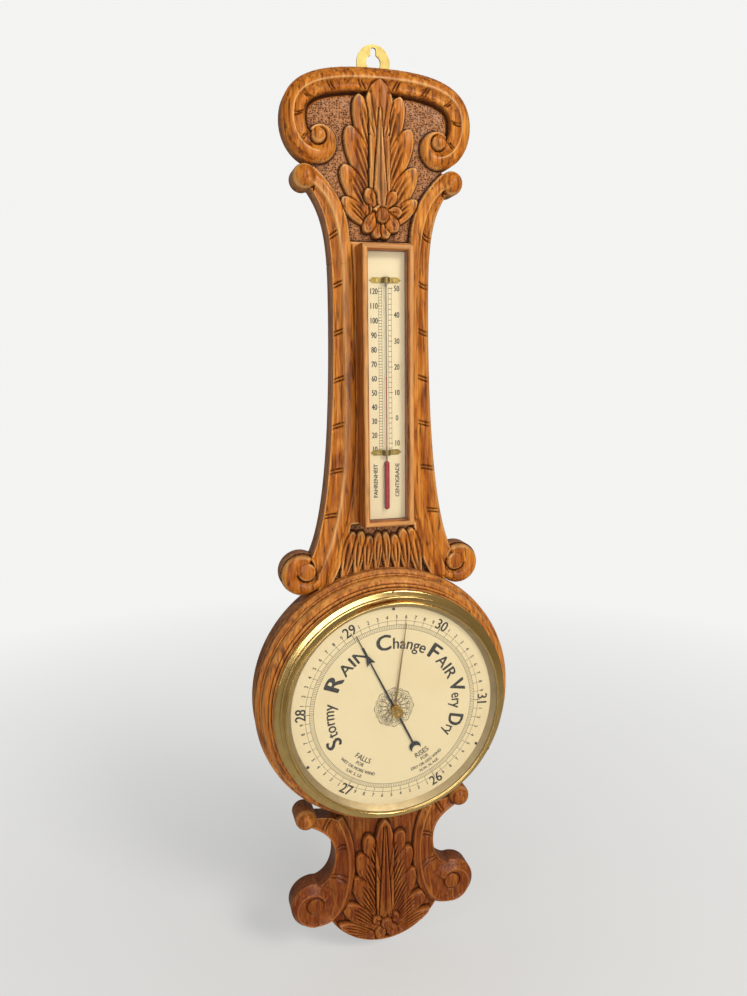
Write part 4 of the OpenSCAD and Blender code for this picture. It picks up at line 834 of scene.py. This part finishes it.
def boxWall(name, node, upright, side, b):
    line = boxProfile(b)
    n = len(line)
    points = []
    for end in (-1, 1):
        for inset, d in line:
            across, up = (side, end) if upright else (end, side)
            height = b["high"] - inset if up > 0 else b["low"] + inset
            points.append((across * (b["half"] - inset), d, height))
    faces = [[k, (k + 1) % n, n + (k + 1) % n, n + k] for k in range(n)]
    faces += [list(range(n)), list(range(n, 2 * n))]
    # painted shade on the sides and back of each wall, and a painted highlight on its front
    marks = {"paintedShade": [0.0 if d > b["front"] - b["round"] else 0.16 for _, d in line] * 2,
             "wearAndHighlight": [0.62 if d > b["front"] - 1.0 else 0.0 for _, d in line] * 2}
    wood = boxOak if upright else railOak
    settle(meshPiece(name, points, faces, wood, 30, True, marks), "box_oak", "case", node)


boxWalls = [("leftStile", "left_stile", True, -1), ("rightStile", "right_stile", True, 1),
            ("topRail", "top_rail", False, 1), ("bottomRail", "bottom_rail", False, -1)]
for name, node, upright, side in boxWalls:
    boxWall(name, "thermometer_" + node, upright, side, boxSizes)
print("box made")


# Printed marks by Geometry Nodes: a row of bars round the dial or up the scale

def marksTree(name, circling):
    tree = bpy.data.node_groups.new(name, "GeometryNodeTree")
    face = tree.interface
    for label, kind in (("Count", "Int"), ("Start", "Float"), ("Step", "Float"), ("Radius", "Float"),
                        ("Depth", "Float"), ("Centre", "Float"), ("Bar", "Vector"), ("Finish", "Material")):
        face.new_socket(label, in_out="INPUT", socket_type="NodeSocket" + kind)
    face.new_socket("Geometry", in_out="OUTPUT", socket_type="NodeSocketGeometry")
    given = wire(tree, "NodeGroupInput").node.outputs
    line = wire(tree, "GeometryNodeMeshLine", {"Count": given["Count"], "Offset": (0, 0, 0.001)})
    number = wire(tree, "GeometryNodeInputIndex")
    value = wire(tree, "ShaderNodeMath", {0: number, 1: given["Step"], 2: given["Start"]},
                 operation="MULTIPLY_ADD")
    back = math2(tree, "MULTIPLY", given["Depth"], -1.0)
    if circling:
        sine = wire(tree, "ShaderNodeMath", {0: value}, operation="SINE")
        cosine = wire(tree, "ShaderNodeMath", {0: value}, operation="COSINE")
        x = math2(tree, "MULTIPLY", sine, given["Radius"])
        z = math2(tree, "ADD", math2(tree, "MULTIPLY", cosine, given["Radius"]), given["Centre"])
        turn = wire(tree, "ShaderNodeCombineXYZ", {1: value})
    else:
        x, z = given["Radius"], math2(tree, "ADD", value, given["Centre"])
        turn = wire(tree, "ShaderNodeCombineXYZ")
    spot = wire(tree, "ShaderNodeCombineXYZ", {0: x, 1: back, 2: z})
    points = wire(tree, "GeometryNodeSetPosition", {"Geometry": line, "Position": spot})
    bar = wire(tree, "GeometryNodeMeshCube", {"Size": given["Bar"]})
    rotation = wire(tree, "FunctionNodeEulerToRotation", {0: turn})
    copies = wire(tree, "GeometryNodeInstanceOnPoints",
                  {"Points": points, "Instance": bar, "Rotation": rotation})
    real = wire(tree, "GeometryNodeRealizeInstances", {0: copies})
    done = wire(tree, "GeometryNodeSetMaterial", {"Geometry": real, "Material": given["Finish"]})
    wire(tree, "NodeGroupOutput", {0: done})
    return tree


def meshOf(obj):  # the plain mesh that an object makes, which takes its place
    bpy.context.view_layer.update()
    mesh = bpy.data.meshes.new_from_object(obj.evaluated_get(bpy.context.evaluated_depsgraph_get()))
    bpy.data.objects.remove(obj)
    return mesh


def grown(name, tree, values):
    carrier = addObject(name + "Carrier", bpy.data.meshes.new(name + "Carrier"))
    modifier = carrier.modifiers.new("marks", "NODES")
    modifier.node_group = tree
    for socket in tree.interface.items_tree:
        if socket.in_out == "INPUT":
            modifier[socket.identifier] = values[socket.name]
    mesh = meshOf(carrier)
    mesh.name = name
    return addObject(name, mesh)


roundMarks, ladderMarks = marksTree("marksRoundDial", True), marksTree("marksUpScale", False)
inkSizes = {"lift": 0.03, "thick": 0.05}  # print stands a hair over its plate
dialPrint = {"front": 55.0, "turn": 2.0, "hatch": (76.6, 80.5), "tick": (76.6, 85.6), "inch": (76.6, 87.0),
             "circles": (76.6, 80.5, 84.5), "circleHalf": 0.14, "bigFigures": 89.0, "smallFigures": 88.2,
             "wordLine": 57.5, "wordSpread": 62.0, "letterGap": 1.2}


def dialBars(name, count, low, high, width, start=0.0):
    bar = grown(name, roundMarks, {
        "Count": count, "Start": math.radians(start + dialPrint["turn"]), "Step": math.tau / count,
        "Radius": (low + high) / 2 * mm, "Depth": (dialPrint["front"] + inkSizes["lift"]) * mm,
        "Centre": dialZ * mm, "Bar": (width * mm, inkSizes["thick"] * mm, (high - low) * mm), "Finish": ink})
    settle(bar, "dial", "case")


dialBars("dialHundredths", 300, *dialPrint["hatch"], 0.34)
dialBars("dialTenths", 60, *dialPrint["tick"], 0.34)
dialBars("dialInches", 6, *dialPrint["inch"], 0.55, 30)
for k, r in enumerate(dialPrint["circles"]):
    inner, outer = r - dialPrint["circleHalf"], r + dialPrint["circleHalf"]
    low, high = dialPrint["front"], dialPrint["front"] + inkSizes["thick"]
    line = [(inner, low), (outer, low), (outer, high), (inner, high)]
    settle(turnedPiece("dialCircle" + str(k), line, ink), "dial", "case")


def typeShape(text, size, squeeze, weight):  # letters of the built-in font as points and faces, mm
    curve = bpy.data.curves.new("type", "FONT")
    curve.body, curve.size, curve.align_x = text, size, "CENTER"
    curve.extrude, curve.resolution_u = inkSizes["lift"], 3
    mesh = meshOf(addObject("type", curve))
    co = np.zeros(len(mesh.vertices) * 3)
    mesh.vertices.foreach_get("co", co)
    co = co.reshape(-1, 3) * (squeeze, 1, 1)
    faces = [list(p.vertices) for p in mesh.polygons]
    shifts = [(weight, 0), (-weight, 0), (0, weight * 0.6), (0, -weight * 0.6)]
    heavy = [co + (dx, dy, 0.002 * k) for k, (dx, dy) in enumerate(shifts)]  # overprints make bold strokes
    return np.vstack(heavy), [[v + k * len(co) for v in f] for k in range(len(shifts)) for f in faces]


def onDial(shape, angle, radius, flip=False):  # bends type round the dial at an angle clockwise from the top
    co, faces = shape
    side = -1 if flip else 1
    a = math.radians(angle + dialPrint["turn"]) + side * co[:, 0] / radius
    r = radius + side * co[:, 1]
    depth = dialPrint["front"] + inkSizes["lift"] + co[:, 2]
    return np.column_stack([r * np.sin(a), depth, r * np.cos(a)]), faces


def onScale(shape, x, z, turn=0.0):
    co, faces = shape
    c, s = math.cos(turn), math.sin(turn)
    across, up = x + c * co[:, 0] - s * co[:, 1], z + s * co[:, 0] + c * co[:, 1]
    return np.column_stack([across, scalePrint["front"] + inkSizes["lift"] + co[:, 2], up]), faces


def printed(name, blocks, slot):
    points, faces, base = [], [], 0
    for co, ring in blocks:
        points.append(co)
        faces += [[v + base for v in f] for f in ring]
        base += len(co)
    settle(meshPiece(name, np.vstack(points), faces, ink, 30), slot, "case")


def middle(shape):
    return shape[0] - (0, (shape[0][:, 1].min() + shape[0][:, 1].max()) / 2, 0), shape[1]


def dialFigures():
    blocks = []
    digits = {str(k): middle(typeShape(str(k), 5.0, 0.85, 0.14)) for k in range(1, 10)}
    for k in range(6):
        angle = (150 + 60 * k) % 360
        flip = 120 < angle < 240
        inch = middle(typeShape(str(26 + k), 14.0, 0.88, 0.26))
        blocks.append(onDial(inch, angle, dialPrint["bigFigures"], flip))
        for tenth in range(1, 10):
            a = (angle + 6 * tenth) % 360
            blocks.append(onDial(digits[str(tenth)], a, dialPrint["smallFigures"], 120 < a < 240))
    return blocks


# The capital, the other letters, and the angles where a word starts and ends
weatherWords = [("S", "tormy", 240, 277), ("R", "AIN", 291, 332), ("C", "hange", 345, 27),
                ("F", "AIR", 34, 66), ("V", "ery", 72, 96), ("D", "ry", 103, 122)]


def dialWords():
    blocks = []
    for head, rest, start, end in weatherWords:
        big = typeShape(head, 21.0, 0.8, 0.6)
        small = typeShape(rest, 15.5, 0.78, 0.22)
        span = math.radians((end - start) % 360) * dialPrint["wordSpread"]
        gap = dialPrint["letterGap"]
        widths = [np.ptp(big[0][:, 0]), np.ptp(small[0][:, 0])]
        stretch = span / (sum(widths) + gap)
        for shape, centre in ((big, widths[0] / 2), (small, widths[0] + gap + widths[1] / 2)):
            co = shape[0] * (stretch, 1, 1)
            co[:, 0] += centre * stretch - (co[:, 0].min() + co[:, 0].max()) / 2
            blocks.append(onDial((co, shape[1]), start - dialPrint["turn"], dialPrint["wordLine"]))
    return blocks


windNotes = [(211, ("FALLS", "FOR", "WET OR MORE WIND", "S.W. S. S.E.")),
             (149, ("RISES", "FOR", "DRY OR LESS WIND", "N.W. N. N.E."))]
windLines = [(58.6, 7.2), (63.6, 4.8), (68.8, 4.2), (74.0, 4.2)]  # radius and size of each line


def dialNotes():
    return [onDial(typeShape(words, size, 0.95, 0.13), angle, radius, True)
            for angle, lines in windNotes for words, (radius, size) in zip(lines, windLines)]


printed("dialFigures", dialFigures(), "dial")
printed("dialWords", dialWords(), "dial")
printed("dialNotes", dialNotes(), "dial")

rosette = {"radius": 19.0, "folds": 8, "line": 0.34,  # rounds as their swing, phase and mean size
           "rounds": [(0.16, 0, 0.84), (0.16, np.pi, 0.84), (0.3, 0, 0.6), (0.3, np.pi, 0.6), (0.1, 0, 0.7),
                      (0.1, np.pi, 0.7), (0.2, 0, 0.46), (0.0, 0, 0.34), (0.05, 0, 0.97)]}


def ribbon(path, width, front):  # closed flat line along a closed path of x, z points
    path = np.asarray(path, float)
    way = np.roll(path, -1, 0) - np.roll(path, 1, 0)
    way /= np.linalg.norm(way, axis=1)[:, None] + 1e-12
    side = np.column_stack([way[:, 1], -way[:, 0]]) * width / 2
    n = len(path)
    points = []
    top = front + inkSizes["thick"]
    for d, s in ((front, 1), (front, -1), (top, -1), (top, 1)):
        p = path + s * side
        points.append(np.column_stack([p[:, 0], np.full(n, d), p[:, 1]]))
    faces = [[q * n + k, q * n + (k + 1) % n, (q + 1) % 4 * n + (k + 1) % n, (q + 1) % 4 * n + k]
             for q in range(4) for k in range(n)]
    return np.vstack(points), faces


def rosetteLines(look):
    t = np.linspace(0, 2 * np.pi, 240, endpoint=False)
    blocks = []
    for swing, phase, size in look["rounds"]:
        r = look["radius"] * (size + swing * np.cos(look["folds"] * t + phase))
        path = np.column_stack([r * np.sin(t), r * np.cos(t)])
        blocks.append(ribbon(path, look["line"], dialPrint["front"]))
    return blocks


printed("dialRosette", rosetteLines(rosette), "dial")

scalePrint = {"front": 34.0, "zeroF": 228.5, "degreeF": 1.268, "wordLong": 31.0, "wordHeight": 212.0}


def heightF(f):
    return scalePrint["zeroF"] + f * scalePrint["degreeF"]


def scaleBars(name, count, first, step, x, length, width):
    bar = grown(name, ladderMarks, {
        "Count": count, "Start": first * mm, "Step": step * mm, "Radius": x * mm,
        "Depth": (scalePrint["front"] + inkSizes["lift"]) * mm, "Centre": dialZ * mm,
        "Bar": (length * mm, inkSizes["thick"] * mm, width * mm), "Finish": ink})
    settle(bar, "scale", "case")


degreeC = scalePrint["degreeF"] * 1.8
scaleMiddle, scaleTall = (heightF(8) + heightF(123)) / 2, heightF(123) - heightF(8)
scaleBars("degreesLeft", 58, heightF(8), scalePrint["degreeF"] * 2, -4.6, 3.0, 0.42)
scaleBars("tensLeft", 12, heightF(10), scalePrint["degreeF"] * 10, -5.0, 4.2, 0.5)
scaleBars("degreesRight", 32, heightF(32) - 12 * degreeC, degreeC * 2, 4.3, 2.8, 0.42)
scaleBars("tensRight", 7, heightF(32) - 10 * degreeC, degreeC * 10, 4.8, 3.8, 0.5)
for side, x in (("Left", -3.1), ("LeftOuter", -6.1), ("Right", 2.9), ("RightOuter", 5.7)):
    scaleBars("rail" + side, 1, scaleMiddle, 1, x, 0.26, scaleTall)
figures = [onScale(middle(typeShape(str(f), 7.2, 0.7, 0.16)), -10.6, heightF(f)) for f in range(10, 130, 10)]
figures += [onScale(middle(typeShape(str(abs(c)), 7.0, 0.72, 0.16)), 10.6, heightF(32) + c * degreeC)
            for c in range(-10, 60, 10)]
for word, x in (("FAHRENHEIT", -10.0), ("CENTIGRADE", 10.6)):
    co, faces = middle(typeShape(word, 5.2, 1.0, 0.16))
    co = co * (scalePrint["wordLong"] / np.ptp(co[:, 0]), 1, 1)
    figures.append(onScale((co, faces), x, scalePrint["wordHeight"], math.pi / 2))
printed("scaleFigures", figures, "scale")
print("print made")


# Stage, light and camera

lightLook = {"key": 48.0, "fill": 15.0, "strip": 2.6, "world": 0.3, "backdrop": (0.9, 0.9, 0.89),
             "room": (0.23, 0.19, 0.13), "behind": (0.34, 0.33, 0.31), "floorZ": -290.0, "floorHalf": 4000.0}


def seenRays(tree):  # what the camera sees, directly, in metal or through glass, and the mirrored share of it
    path = wire(tree, "ShaderNodeLightPath").node.outputs
    straight = math2(tree, "MAXIMUM", path["Is Camera Ray"], path["Is Glossy Ray"])
    return math2(tree, "MAXIMUM", straight, path["Is Transmission Ray"]), path["Is Glossy Ray"]


world = bpy.data.worlds.new("studio")
world.use_nodes = True
scene.world = world
tree = world.node_tree
tree.nodes.clear()
seen, glossy = seenRays(tree)
around = wire(tree, "ShaderNodeTexCoord", out="Generated")
facing = wire(tree, "ShaderNodeSeparateXYZ", {0: around}, 1)
mirrored = mixed(tree, spread(tree, facing, -0.1, 0.7), lightLook["room"], lightLook["behind"])
paleTone = mixed(tree, glossy, lightLook["backdrop"], mirrored)
pale = wire(tree, "ShaderNodeBackground", {"Color": paleTone, "Strength": 1.0})
soft = wire(tree, "ShaderNodeBackground", {"Color": (1, 1, 1, 1), "Strength": lightLook["world"]})
both = wire(tree, "ShaderNodeMixShader", {0: seen, 1: soft, 2: pale})
wire(tree, "ShaderNodeOutputWorld", {"Surface": both})

floorMaterial, tree = blankMaterial("paleFloor")
tone = mixed(tree, noise(tree, objectPlace(tree), 6, 3), (0.8, 0.8, 0.79), (0.84, 0.84, 0.83))
matt = wire(tree, "ShaderNodeBsdfDiffuse", {"Color": tone})
seen, glossy = seenRays(tree)
glowTone = mixed(tree, glossy, lightLook["backdrop"], lightLook["room"])
glow = wire(tree, "ShaderNodeEmission", {"Color": glowTone, "Strength": 1.0})
flat = objectPlace(tree, (1, 1, 0))
away = wire(tree, "ShaderNodeVectorMath", {0: flat}, "Value", operation="LENGTH")
fade = spread(tree, away, 0.15, 1.3, 0.4, 1.0)  # the floor runs into the backdrop with no edge
share = math2(tree, "MULTIPLY", seen, fade)
cover = wire(tree, "ShaderNodeMixShader", {0: share, 1: matt, 2: glow})
wire(tree, "ShaderNodeOutputMaterial", {"Surface": cover})
reach = lightLook["floorHalf"]
floorCorners = [(x * reach, y * reach, lightLook["floorZ"]) for x, y in ((-1, 1), (1, 1), (1, -1), (-1, -1))]
floor = meshPiece("floor", floorCorners, [[0, 1, 2, 3]], floorMaterial)


def areaLamp(name, place, target, size, power, tall=None, tint=(1, 1, 1)):
    lamp = bpy.data.lights.new(name, "AREA")
    lamp.energy, lamp.size, lamp.color = power, size, tint
    if tall:
        lamp.shape, lamp.size_y = "RECTANGLE", tall
    obj = addObject(name, lamp)
    obj.location = place
    obj.rotation_euler = (Vector(target) - Vector(place)).to_track_quat("-Z", "Y").to_euler()


areaLamp("keyLamp", (1.1, -2.3, 1.2), (0, 0, -0.45), 0.9, lightLook["key"], tint=(1, 0.95, 0.87))
areaLamp("fillLamp", (-0.15, -2.2, -0.2), (0, 0, -0.45), 1.0, lightLook["fill"], tint=(1, 0.97, 0.92))
areaLamp("stripLamp", (-1.5, -1.1, -0.2), (0, 0, -0.4), 0.16, lightLook["strip"], 1.1)

view = {"place": (-0.2033, -0.7284, -0.2572), "yaw": 15.38, "pitch": -9.8, "roll": 0.53, "lens": 28.81}
camera = bpy.data.cameras.new("camera")
camera.lens, camera.sensor_width, camera.clip_start = view["lens"], 36, 0.01
cameraObject = addObject("camera", camera)
yaw, pitch, roll = (math.radians(view[k]) for k in ("yaw", "pitch", "roll"))
ahead = Vector((math.sin(yaw) * math.cos(pitch), math.cos(yaw) * math.cos(pitch), math.sin(pitch)))
right = Vector((math.cos(yaw), -math.sin(yaw), 0))
low = ahead.cross(right)
right, low = math.cos(roll) * right + math.sin(roll) * low, -math.sin(roll) * right + math.cos(roll) * low
turn = Matrix((right, -low, -ahead)).transposed()
cameraObject.matrix_world = Matrix.Translation(view["place"]) @ turn.to_4x4()
scene.camera = cameraObject

print("stage set")
